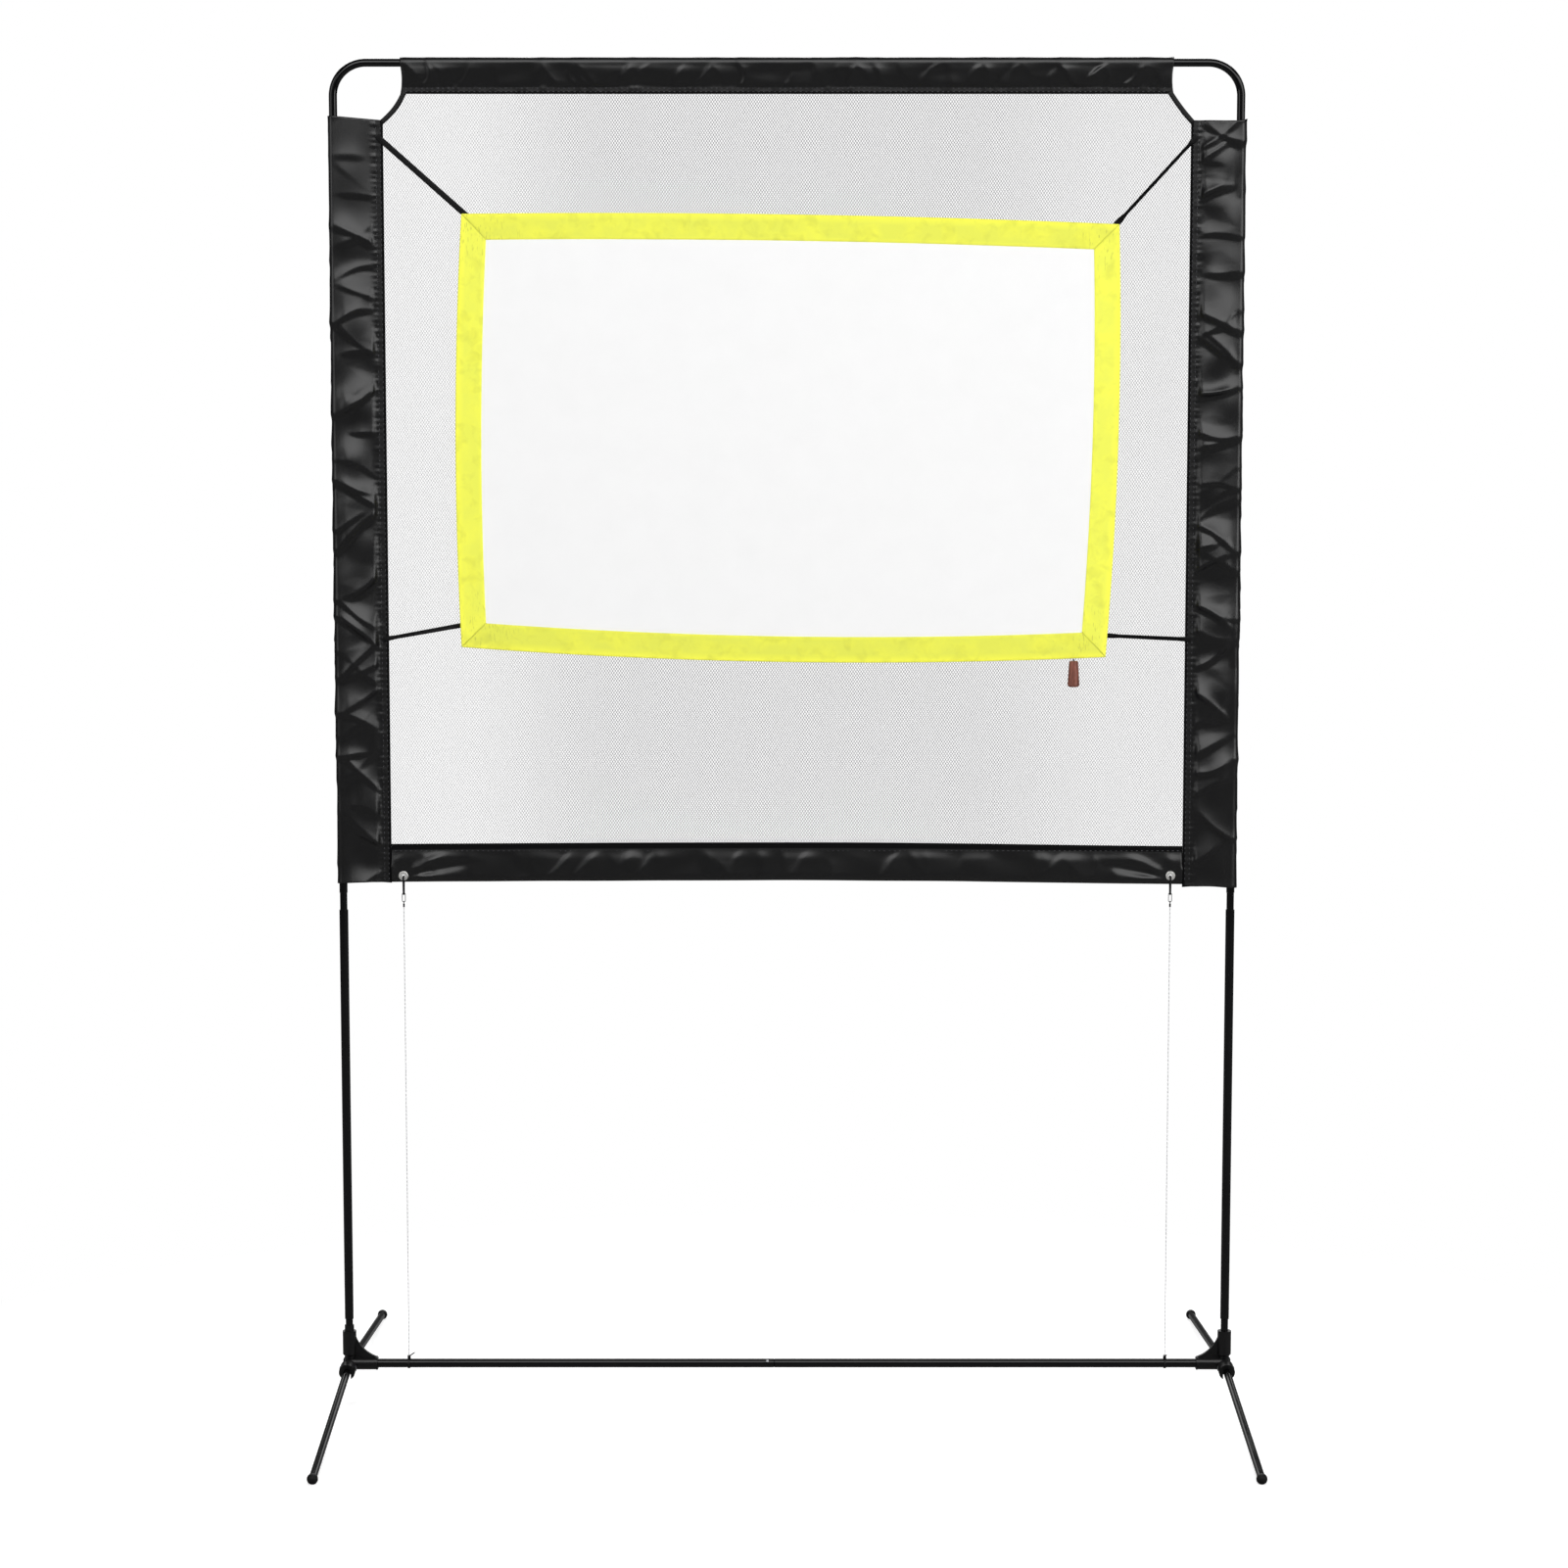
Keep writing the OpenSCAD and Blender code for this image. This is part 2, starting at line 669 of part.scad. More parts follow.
// How far the cloth of one face is pushed out at a place along the sleeve
function crease(along, across, face) =
    crease_depth * (
        0.65 * sin(360 * (along / crease_pitch + across / 160) + 110 * face)
        + 0.35 * sin(360 * (along / crease_pitch * 1.6 - across / 110) + 70 * face)
    );

// One face of a sleeve's cross-section, from its sewn edge round to the back of the tube:
// each entry is [across, half thickness, share of the crease]
function sleeve_face(r, edge, edge_half) =
    let (lean = atan((r - edge_half) / edge), flat_steps = 4, arc_steps = 4)
    [
        for (k = [0 : flat_steps - 1]) let (s = k / flat_steps)
            [edge - s * (edge - r * sin(lean)), edge_half + s * (r * cos(lean) - edge_half), sin(180 * s)],
        for (k = [0 : arc_steps]) let (a = 90 - lean + k * (90 + lean) / arc_steps)
            [r * cos(a), r * sin(a), 0]
    ];

// A full ring of the cross-section at one place along the sleeve
function sleeve_ring(r, reach, edge, edge_half, along) =
    let (face = concat([[reach, edge_half, 0]], sleeve_face(r, edge, edge_half)), n = len(face))
    [
        for (k = [0 : n - 1]) [face[k][0], -face[k][1] + face[k][2] * crease(along, face[k][0], 0), along],
        for (k = [1 : n - 2]) let (f = face[n - 1 - k])
            [f[0], f[1] + f[2] * crease(along, f[0], 1), along],
        [reach, edge_half, along]
    ];

// A cloth sleeve round a tube along Z, closed by a sewn band that ends at x = reach
module sleeve(len_z, reach, seam_w, tube_r, steps) {
    inner_r = tube_r + cloth_slack;
    outer_edge = reach - seam_w;
    inner_edge = outer_edge - cloth_t;
    zs = [for (i = [0 : steps]) i * len_z / steps];
    outer = [for (z = zs) each sleeve_ring(inner_r + cloth_t, reach, outer_edge, seam_half_t, z)];
    inner = [for (z = zs) each sleeve_ring(inner_r, inner_edge, inner_edge - 1, 0.3, z)];
    n = len(outer) / (steps + 1);
    base = len(outer);
    skin = [for (i = [0 : steps - 1], k = [0 : n - 1])
        let (a = i * n + k, b = i * n + (k + 1) % n)
        each [[a, b, b + n], [a, b + n, a + n]]];
    lining = [for (f = skin) [f[2], f[1], f[0]] + base * [1, 1, 1]];
    ends = [for (k = [0 : n - 1]) let (m = (k + 1) % n, top = steps * n)
        each [[k, base + k, base + m], [k, base + m, m],
            [top + k, top + m, top + base + m], [top + k, top + base + m, top + base + k]]];
    polyhedron(points = concat(outer, inner), faces = concat(skin, lining, ends));
}

module sleeve_side(side) {
    color(cloth_black) on_side(side) translate([-pole_x, 0, sleeve_bottom_z])
        sleeve(sleeve_top_z - sleeve_bottom_z, sleeve_reach, side_seam_w, tube_d / 2, 20);
}

module sleeve_top() {
    color(cloth_black) translate([-top_sleeve_half, 0, top_z]) rotate([0, 90, 0])
        sleeve(2 * top_sleeve_half, top_sleeve_reach, top_seam_w, tube_d / 2, 16);
}

// ---- bottom band and corner bindings ----

// A folded hem along the foot of the net, creased between its two grommets
module bottom_band() {
    half = net_half_w;
    steps = 24;
    // flat from each end to just past its grommet, creased between
    creased = grommet_x - grommet_d / 2 - 2;
    xs = concat([-half], [for (i = [0 : steps - 2]) creased * (2 * i / (steps - 2) - 1)], [half]);
    // [height above the lower edge, half thickness, share of the crease]
    section = [
        [0, band_half_t / 2, 0], [1.2, band_half_t, 0], [band_h * 0.32, band_half_t, 0.8],
        [band_h * 0.56, band_half_t, 1], [band_h * 0.8, band_half_t, 0], [band_h, seam_half_t, 0]
    ];
    rings = [for (x = xs) let (
            quiet = max(0, 1 - pow(x / creased, 8)),
            bend = quiet * crease(x + half, 0, 0))
        each concat(
            [for (s = section) [x, -s[1] + s[2] * bend, s[0]]],
            [for (k = [len(section) - 1 : -1 : 0]) let (s = section[k]) [x, s[1] + s[2] * bend, s[0]]]
        )];
    n = 2 * len(section);
    walls = [for (i = [0 : steps - 1], k = [0 : n - 1])
        let (a = i * n, b = a + n, m = (k + 1) % n)
        each [[a + k, a + m, b + m], [a + k, b + m, b + k]]];
    rows = len(section);
    first = [for (k = [0 : rows - 2]) each [[k, n - 2 - k, k + 1], [k, n - 1 - k, n - 2 - k]]];
    last = [for (f = first) [f[2], f[1], f[0]] + steps * n * [1, 1, 1]];
    color(cloth_black) difference() {
        translate([0, 0, band_bottom_z]) polyhedron(points = rings, faces = concat(walls, first, last));
        for (side = [-1, 1]) translate([side * grommet_x, 0, grommet_z]) rotate([90, 0, 0])
            cylinder(d = grommet_hole_d + 2.4 + 2 * push_gap, h = 20, center = true);
    }
}

// A bound tape across each upper corner of the net, bowed a little towards the net
module corner_binding(side) {
    sag = 2.5;
    steps = 6;
    high = net_top_z;
    inner = [net_half_w - net_cut_w, high];
    inner_low = [net_half_w, high - net_cut_h];
    outer = [top_sleeve_half, high];
    outer_low = [net_half_w + 1.2, sleeve_top_z + soft_gap];
    square_off = [net_cut_h, net_cut_w] / norm([net_cut_w, net_cut_h]);
    color(cloth_black) on_side(-side) translate([0, seam_half_t, 0]) rotate([90, 0, 0])
        linear_extrude(2 * seam_half_t) translate(soft_gap * square_off) polygon(concat(
            [for (i = [0 : steps]) let (s = i / steps) inner + s * (inner_low - inner)],
            [[net_half_w, outer_low[1]]],
            [for (i = [0 : steps]) let (s = i / steps)
                outer_low + s * (outer - outer_low) - sag * sin(180 * s) * square_off * 0.5]
        ));
}

// ---- target panel ----

// The panel is drawn level. Heights of its two long edges and half widths of its sides, each
// drawn in by a distance
function panel_low(x, inset) = panel_bottom_z + inset - panel_sag * (1 - pow(x / panel_half_w, 2));
function panel_high(x, inset) = panel_top_z - inset + panel_crown * (1 - pow(x / panel_half_w, 2));
function panel_side(z, inset) =
    let (rise = (z - panel_mid_z) / (panel_h / 2))
    panel_half_w - inset + panel_flare / 2 * rise + panel_bow * (1 - rise * rise);

// The right-hand corner points of the panel's outline
function panel_corner(inset, top) =
    let (
        start_x = panel_half_w - inset,
        near = top ? panel_high(start_x, inset) : panel_low(start_x, inset),
        x = panel_side(near, inset)
    )
    [x, top ? panel_high(x, inset) : panel_low(x, inset)];

// Points along one edge of the panel, from its left or lower end
function edge_points(edge, inset) =
    let (
        steps = 10,
        up = panel_corner(inset, true),
        down = panel_corner(inset, false),
        side = edge == "left" ? -1 : 1
    )
    edge == "top" ? [for (i = [0 : steps]) let (x = up[0] * (2 * i / steps - 1))
        [x, panel_high(x, inset)]]
    : edge == "bottom" ? [for (i = [0 : steps]) let (x = down[0] * (2 * i / steps - 1))
        [x, panel_low(x, inset)]]
    : [
        [side * down[0], down[1]],
        for (i = [1 : steps - 1]) let (z = down[1] + i / steps * (up[1] - down[1]))
            [side * panel_side(z, inset), z],
        [side * up[0], up[1]]
    ];

function turned(points) = [for (i = [len(points) - 1 : -1 : 0]) points[i]];

// A point of the level panel, moved to where it hangs
function hung_point(p) =
    let (up = p[1] - panel_mid_z)
    [
        p[0] * cos(panel_tilt) + up * sin(panel_tilt),
        panel_mid_z + up * cos(panel_tilt) - p[0] * sin(panel_tilt)
    ];

// The level panel turned about its middle to the way it hangs
module hung() {
    translate([0, 0, panel_mid_z]) rotate([0, panel_tilt, 0]) translate([0, 0, -panel_mid_z]) children();
}

// A flat shape in the XZ plane, from y = back forward to y = back - t
module upright(back, t) {
    translate([0, back, 0]) rotate([90, 0, 0]) linear_extrude(t) children();
}

module panel_outline(inset) {
    polygon(concat(edge_points("bottom", inset), edge_points("right", inset),
        turned(edge_points("top", inset)), turned(edge_points("left", inset))));
}

module target_sheet() {
    color(white) hung() upright(border_mid + sheet_t / 2, sheet_t)
        panel_outline(sheet_inset + soft_gap);
}

// One side of the border: a folded strip, open to the sheet between its two layers
module border(edge) {
    room = border_t - 2 * border_layer_t;
    outer = edge_points(edge, 0);
    inner = edge_points(edge, border_w);
    color(lime) hung() difference() {
        upright(border_back, border_t) polygon(concat(outer, turned(inner)));
        upright(border_mid + room / 2, room) panel_outline(sheet_inset);
    }
}

// ---- straps ----

// A flat strap between two points of the XZ plane, behind the border and over the sewn band
module strap(from, to, w) {
    run = to - from;
    color(cloth_black) upright(strap_front + strap_t, strap_t)
        translate(from) rotate(atan2(run[1], run[0])) translate([0, -w / 2]) square([norm(run), w]);
}

module strap_top(side) {
    corner = panel_corner(0, true);
    start = hung_point([side * (corner[0] - top_strap_in), corner[1]]);
    way = [side * strap_end_x, top_strap_z] - start;
    strap(start - strap_tuck * way / norm(way), start + way, top_strap_w);
}

module strap_bottom(side) {
    z = panel_bottom_z + bottom_strap_up;
    start = hung_point([side * panel_side(z, 0), z]);
    way = [side * strap_end_x, bottom_strap_z] - start;
    strap(start - strap_tuck * way / norm(way), start + way, bottom_strap_w);
}

// ---- grommets, loops, snaps and ties ----

module grommet(side) {
    bore = grommet_hole_d / 2;
    barrel = bore + 1.2;
    rim = grommet_d / 2;
    face = band_half_t + push_gap;
    color(steel) translate([side * grommet_x, 0, grommet_z]) rotate([90, 0, 0]) rotate_extrude() polygon([
        [bore, -face - grommet_flange_t * 0.6], [bore + 0.5, -face - grommet_flange_t],
        [rim - 0.6, -face - grommet_flange_t * 0.8], [rim, -face - 0.2], [rim, -face],
        [barrel, -face], [barrel, face], [rim, face], [rim, face + 0.2],
        [rim - 0.6, face + grommet_flange_t * 0.8], [bore + 0.5, face + grommet_flange_t],
        [bore, face + grommet_flange_t * 0.6],
    ]);
}

// Half of a loop's route, [y, z], from over the hole down to the bight
function loop_half() = [
    [0, loop_top_z],
    [loop_y - 2.1, loop_top_z - 0.1],
    [loop_y - 0.8, loop_top_z - 0.6],
    [loop_y - 0.1, loop_top_z - 1.9],
    [loop_y, loop_top_z - 4],
    [loop_y, band_bottom_z - 2],
    [bight_r + 0.6, bight_z + 4],
    [bight_r, bight_z],
    [bight_r * sin(45), bight_z - bight_r * cos(45)],
    [0, loop_low_z],
];

module band_loop(side) {
    half = loop_half();
    n = len(half);
    points = concat(half, [for (i = [n - 2 : -1 : 1]) [-half[i][0], half[i][1]]]);
    color(black) translate([side * grommet_x, 0, 0]) cord_loop(points, loop_cord_r, 8);
}

// A long closed ring of wire in the XZ plane
module wire_snap(side) {
    r = snap_w / 2;
    straight = snap_h - snap_w;
    color(steel) translate([side * grommet_x, 0, snap_low_z + r]) rotate([90, 0, 0]) {
        for (m = [0, 1]) translate([0, m * straight, 0]) mirror([0, 1 - m, 0])
            rotate_extrude(angle = 180) translate([r, 0]) circle(r = wire_r, $fn = 16);
        for (s = [-1, 1]) translate([s * r, 0, 0]) rotate([-90, 0, 0])
            cylinder(r = wire_r, h = straight, $fn = 16);
    }
}

// A barrel swivel whose eye hangs on the snap
module swivel(side) {
    color(steel) translate([side * grommet_x, 0, 0]) {
        translate([0, 0, eye_z]) rotate([0, 90, 0]) rotate_extrude() translate([eye_r, 0])
            circle(r = eye_wire_r, $fn = 16);
        translate([0, 0, swivel_low_z]) cylinder(d = swivel_d, h = swivel_len);
    }
}

// The thin cord from the swivel down to the head of the cable tie
module tie_line(side) {
    color([0.85, 0.85, 0.85]) translate([side * grommet_x, 0, tie_head_z + tie_head_h])
        cylinder(r = line_r, h = swivel_low_z - tie_head_z - tie_head_h, $fn = 16);
}

// A cable tie round the crossbar: strap, head and cut tail
module cable_tie(side, tail) {
    color(black) translate([side * grommet_x, 0, 0]) {
        translate([-tie_w / 2, 0, crossbar_z]) rotate([0, 90, 0]) difference() {
            cylinder(r = tie_bore_r + tie_t, h = tie_w);
            translate([0, 0, -1]) cylinder(r = tie_bore_r, h = tie_w + 2);
        }
        translate([-tie_w / 2 - 0.6, -2.2, tie_head_z + 0.1]) cube([tie_w + 1.2, 4.4, tie_head_h - 0.1]);
        translate([0, 0, tie_head_z + tie_head_h - 1.4]) rotate([0, 55, 0])
            translate([-tie_t / 2, -tie_w / 2, 0]) cube([tie_t, tie_w, tail + 2]);
    }
}

// ---- toggle ----

// where the toggle's place comes on the lower edge of the level panel
toggle_at = (toggle_x + panel_h / 2 * sin(panel_tilt)) / cos(panel_tilt);
toggle_edge_z = hung_point([toggle_at, panel_low(toggle_at, 0)])[1];
knot_r = toggle_cord_d / 2 + 0.2;
// the knot sits under the border's front edge, so that the toggle swings clear of it
knot_out = 1.1;
knot_y = border_back - border_t - knot_out;
knot_z = toggle_edge_z - sqrt(pow(knot_r + soft_gap, 2) - pow(knot_out, 2));
toggle_top_z = toggle_edge_z - toggle_drop;
toggle_y = -(net_t / 2 + 1.3 + toggle_foot_d / 2);
toggle_bore_depth = 14;

// A knot under the border and a short cord into the toggle's bore
module toggle_cord() {
    r = toggle_cord_d / 2;
    step = toggle_y - knot_y;
    fall = knot_z - toggle_top_z;
    color(black) translate([toggle_x, 0, 0]) {
        translate([0, knot_y, knot_z]) sphere(r = knot_r, $fn = 24);
        cord_run([
            [knot_y, knot_z], [knot_y + step * 0.35, knot_z - fall * 0.35],
            [knot_y + step * 0.8, knot_z - fall * 0.85], [toggle_y, toggle_top_z - 1],
            [toggle_y, toggle_top_z - 4], [toggle_y, toggle_top_z - toggle_bore_depth + push_gap],
        ], r, 12);
    }
}

// A turned peg, wider at its foot, bored from its top for the cord
module wooden_toggle() {
    top_r = toggle_top_d / 2;
    foot_half = toggle_foot_d / 2;
    bore = toggle_cord_d / 2 + push_gap;
    color(brown) translate([toggle_x, toggle_y, toggle_top_z]) rotate_extrude() polygon([
        [0, -toggle_len], [foot_half - 3, -toggle_len], [foot_half - 1, -toggle_len + 0.8],
        [foot_half, -toggle_len + 2.6], [top_r, -1], [top_r - 0.8, 0],
        [bore + 1.2, 0], [bore, -1.4], [bore, -toggle_bore_depth], [0, -toggle_bore_depth],
    ]);
}

lower_pole(-1);  // lower_pole_left
lower_pole(1);  // lower_pole_right
side_pole(-1);  // side_pole_left
side_pole(1);  // side_pole_right
upper_pole(-1);  // upper_pole_left
upper_pole(1);  // upper_pole_right
corner_tube(-1);  // corner_tube_left
corner_tube(1);  // corner_tube_right
top_tube(-1);  // top_tube_left
top_tube(1);  // top_tube_right
crossbar_left();
crossbar_right();
crossbar_button();
button_spring();
pole_collar();
hub(-1);  // hub_left
hub(1);  // hub_right
pivot_pins(-1);  // pivot_pins_left
pivot_pins(1);  // pivot_pins_right
leg(-1, -1);  // leg_front_left
leg(1, -1);  // leg_front_right
leg(-1, 1);  // leg_rear_left
leg(1, 1);  // leg_rear_right
foot_cap(-1, -1);  // foot_cap_front_left
foot_cap(1, -1);  // foot_cap_front_right
foot_cap(-1, 1);  // foot_cap_rear_left
foot_cap(1, 1);  // foot_cap_rear_right
net();
sleeve_side(-1);  // sleeve_left
sleeve_side(1);  // sleeve_right
sleeve_top();
bottom_band();
corner_binding(-1);  // corner_binding_left
corner_binding(1);  // corner_binding_right
target_sheet();
border("top");  // border_top
border("bottom");  // border_bottom
border("left");  // border_left
border("right");  // border_right
strap_top(-1);  // strap_top_left
strap_top(1);  // strap_top_right
strap_bottom(-1);  // strap_bottom_left
strap_bottom(1);  // strap_bottom_right
grommet(-1);  // grommet_left
grommet(1);  // grommet_right
band_loop(-1);  // band_loop_left
band_loop(1);  // band_loop_right
wire_snap(-1);  // wire_snap_left
wire_snap(1);  // wire_snap_right
swivel(-1);  // swivel_left
swivel(1);  // swivel_right
tie_line(-1);  // tie_line_left
tie_line(1);  // tie_line_right
cable_tie(-1, left_tail);  // cable_tie_left
cable_tie(1, right_tail);  // cable_tie_right
toggle_cord();
wooden_toggle();
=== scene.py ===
import math
import random

import bmesh
import bpy
from bpy.props import FloatProperty, FloatVectorProperty, IntProperty, PointerProperty
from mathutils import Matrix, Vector, geometry, noise


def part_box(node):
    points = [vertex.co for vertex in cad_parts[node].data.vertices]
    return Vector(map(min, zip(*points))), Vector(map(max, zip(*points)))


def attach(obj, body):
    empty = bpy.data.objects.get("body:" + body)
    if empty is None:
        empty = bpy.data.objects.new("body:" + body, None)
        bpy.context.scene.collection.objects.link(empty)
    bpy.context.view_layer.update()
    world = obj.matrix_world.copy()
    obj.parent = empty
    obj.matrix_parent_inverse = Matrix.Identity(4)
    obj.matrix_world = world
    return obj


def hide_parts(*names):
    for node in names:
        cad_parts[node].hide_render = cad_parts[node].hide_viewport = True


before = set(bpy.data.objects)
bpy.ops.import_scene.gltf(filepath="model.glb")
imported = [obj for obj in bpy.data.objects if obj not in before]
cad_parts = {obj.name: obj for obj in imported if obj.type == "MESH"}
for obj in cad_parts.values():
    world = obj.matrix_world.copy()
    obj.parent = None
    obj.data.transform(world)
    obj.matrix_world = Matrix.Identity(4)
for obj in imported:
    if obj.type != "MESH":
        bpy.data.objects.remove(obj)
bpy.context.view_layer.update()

bl_info = {
    "name": "Pitching Target Net",
    "version": (1, 0, 0),
    "blender": (4, 5, 0),
    "location": "View3D > Sidebar > Target Net",
    "description": "Dresses the frame of a pitching target net in its cloth, net, cords and finishes",
    "category": "Object",
}

MM = 0.001
ROOT = "frame_and_net"
SIDES = (("left", -1), ("right", 1))
ENDS = ("front", "rear")
# a Mix node's two colour inputs, and its colour output
MIX_A, MIX_B, MIX_OUT = 6, 7, 2


# ---- small helpers ----

def node_box(node):
    """Lowest and highest corner of a frame piece, in millimetres."""
    low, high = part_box(node)
    return [v / MM for v in low], [v / MM for v in high]


def node_middle(node):
    """The middle of a frame piece's box, in millimetres."""
    return [(a + b) / 2 for a, b in zip(*node_box(node))]


def hex_colour(code):
    """An sRGB hex colour as linear red, green and blue."""
    values = [int(code[i:i + 2], 16) / 255 for i in (0, 2, 4)]
    return [v / 12.92 if v <= 0.04045 else ((v + 0.055) / 1.055) ** 2.4 for v in values]


def smooth(t):
    """0 below 0, 1 above 1, an even ramp between."""
    t = min(1.0, max(0.0, t))
    return t * t * (3 - 2 * t)


def noise_at(x, y, z):
    """Smooth noise between -1 and 1."""
    return noise.noise(Vector((x, y, z)))


def select_only(*pieces):
    """Selects these pieces alone; the last one becomes active."""
    if bpy.context.object and bpy.context.object.mode != "OBJECT":
        bpy.ops.object.mode_set(mode="OBJECT")
    bpy.ops.object.select_all(action="DESELECT")
    for piece in pieces:
        piece.select_set(True)
        bpy.context.view_layer.objects.active = piece


def apply_modifier(piece, kind, **settings):
    """Adds a modifier with its settings and applies it."""
    select_only(piece)
    modifier = piece.modifiers.new(kind.title(), kind)
    for key, value in settings.items():
        setattr(modifier, key, value)
    bpy.ops.object.modifier_apply(modifier=modifier.name)


def link(tree, node, links):
    """Links a node's inputs, each to its (node, output)."""
    for key, (source, output) in links.items():
        tree.links.new(source.outputs[output], node.inputs[key])


def add_node(tree, kind, settings=None, links=None):
    """Adds a shader node of a kind such as TexNoise, sets its properties or inputs, and links its
    inputs, each to its (node, output)."""
    made = tree.nodes.new("ShaderNode" + kind)
    for key, value in (settings or {}).items():
        if isinstance(key, str) and key not in made.inputs:
            setattr(made, key, value)
        else:
            made.inputs[key].default_value = value
    link(tree, made, links or {})
    return made


def new_material(name, colour, roughness, **sockets):
    """A material with one Principled shader; returns it, its tree, its shader and the links that
    lay a pattern on the piece's own coordinates."""
    made = bpy.data.materials.new(name)
    made.use_nodes = True
    tree = made.node_tree
    shader = tree.nodes["Principled BSDF"]
    shader.inputs["Base Color"].default_value = (*colour, 1)
    shader.inputs["Roughness"].default_value = roughness
    for key, value in sockets.items():
        shader.inputs[key.replace("_", " ")].default_value = value
    place = add_node(tree, "TexCoord")
    return made, tree, shader, {"Vector": (place, "Object")}


def rgba(colour, factor=1.0):
    """A colour made lighter or darker, with alpha."""
    return (*[min(1.0, c * factor) for c in colour], 1)


def dress(node, material):
    """Gives a frame piece its material."""
    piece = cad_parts[node]
    for slot in piece.material_slots:
        slot.material = material


def finish_piece(piece, material, body=ROOT, stands_for=()):
    """Gives a piece its material, its body and the frame pieces it stands for."""
    piece.data.materials.clear()
    piece.data.materials.append(material)
    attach(piece, body)
    if stands_for:
        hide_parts(*stands_for)


def piece_from(name, points, faces, uvs=None):
    """A smooth mesh piece from points in millimetres; uvs gives one pair for each point."""
    mesh = bpy.data.meshes.new(name)
    mesh.from_pydata([[c * MM for c in p] for p in points], [], faces)
    if uvs:
        layer = mesh.uv_layers.new(name="across_along")
        for loop in mesh.loops:
            layer.data[loop.index].uv = uvs[loop.vertex_index]
    mesh.shade_smooth()
    piece = bpy.data.objects.new(name, mesh)
    bpy.context.scene.collection.objects.link(piece)
    return piece


def grid_faces(rows, columns, ring, turned):
    """Quads between rows of points; ring closes each row, turned reverses them."""
    faces = []
    for i in range(rows - 1):
        for k in range(columns if ring else columns - 1):
            a, b = i * columns + k, i * columns + (k + 1) % columns
            quad = (a, b, b + columns, a + columns)
            faces.append(quad[::-1] if turned else quad)
    return faces


def points_outward(piece):
    """Recalculates a closed piece's normals to point outwards."""
    shape = bmesh.new()
    shape.from_mesh(piece.data)
    bmesh.ops.remove_doubles(shape, verts=shape.verts, dist=1e-7)
    bmesh.ops.recalc_face_normals(shape, faces=shape.faces)
    shape.to_mesh(piece.data)
    shape.free()


def list_by_place(piece):
    """Lists a piece's points and faces by their places, as Blender's cuts list them anew in each run."""
    mesh = piece.data
    places = [tuple(point.co) for point in mesh.vertices]
    order = sorted(range(len(places)), key=lambda k: [round(number / MM, 3) for number in places[k]])
    rank = {old: new for new, old in enumerate(order)}
    faces = []
    for face in mesh.polygons:
        corners = [rank[k] for k in face.vertices]
        first = corners.index(min(corners))
        faces.append(corners[first:] + corners[:first])
    mesh.clear_geometry()
    mesh.from_pydata([places[k] for k in order], [], sorted(faces))


def cord_piece(name, points, radius, closed=False, steps=6, sides=3):
    """A round cord along points in millimetres, as a mesh."""
    select_only()
    bpy.ops.curve.primitive_bezier_curve_add()
    piece = bpy.context.object
    piece.name = name
    curve = piece.data
    curve.splines.clear()
    line = curve.splines.new("NURBS")
    line.points.add(len(points) - 1)
    for point, place in zip(line.points, points):
        point.co = (*[c * MM for c in place], 1)
    line.order_u = 4
    line.use_cyclic_u = closed
    line.use_endpoint_u = not closed
    line.resolution_u = steps
    curve.bevel_depth = radius * MM
    curve.bevel_resolution = sides
    curve.use_fill_caps = not closed
    select_only(piece)
    bpy.ops.object.convert(target="MESH")
    piece = bpy.context.object
    piece.location = (0, 0, 0)
    bpy.ops.object.shade_smooth()
    return piece


# ---- sizes and colours a user would change ----

class StageSettings(bpy.types.PropertyGroup):
    """The camera, the lamps and the floor."""

    camera_x: FloatProperty(name="Camera X", description="Camera's place to the right of the net's middle",
                            default=-0.004, unit="LENGTH")
    camera_back: FloatProperty(name="Camera Distance",
                               description="Camera's distance in front of the frame",
                               default=4.95, unit="LENGTH")
    camera_height: FloatProperty(name="Camera Height", description="Camera's height above the floor",
                                 default=1.4045, unit="LENGTH")
    camera_tilt: FloatProperty(name="Camera Tilt", description="How far the camera looks down",
                               default=math.radians(6.39), subtype="ANGLE")
    lens: FloatProperty(name="Lens", description="Focal length in millimetres", default=84.225)
    lamp_strength: FloatProperty(name="Soft Boxes", description="Brightness of the large soft boxes",
                                 default=2.62)
    sky_strength: FloatProperty(name="Surroundings", description="Light from all round", default=0.2)
    floor_colour: FloatVectorProperty(name="Floor", description="Colour of the floor", subtype="COLOR",
                                      default=hex_colour("E6E6E6"))
    floor_glow: FloatProperty(name="Floor Glow", description="How much the camera sees the floor lifted",
                              default=0.5)


class NetSettings(bpy.types.PropertyGroup):
    """The fine diamond mesh."""

    hole_width: FloatProperty(name="Hole Width", description="Width of one diamond hole",
                              default=3.6 * MM, unit="LENGTH")
    hole_height: FloatProperty(name="Hole Height", description="Height of one diamond hole",
                               default=5.4 * MM, unit="LENGTH")
    strand_width: FloatProperty(name="Strand Width", description="Width of one strand from the front",
                                default=0.49 * MM, unit="LENGTH")
    strand_depth: FloatProperty(name="Strand Depth", description="Thickness of one strand",
                                default=1.0 * MM, unit="LENGTH")
    colour: FloatVectorProperty(name="Net Colour", description="Colour of the net's yarn", subtype="COLOR",
                                default=hex_colour("45444F"))


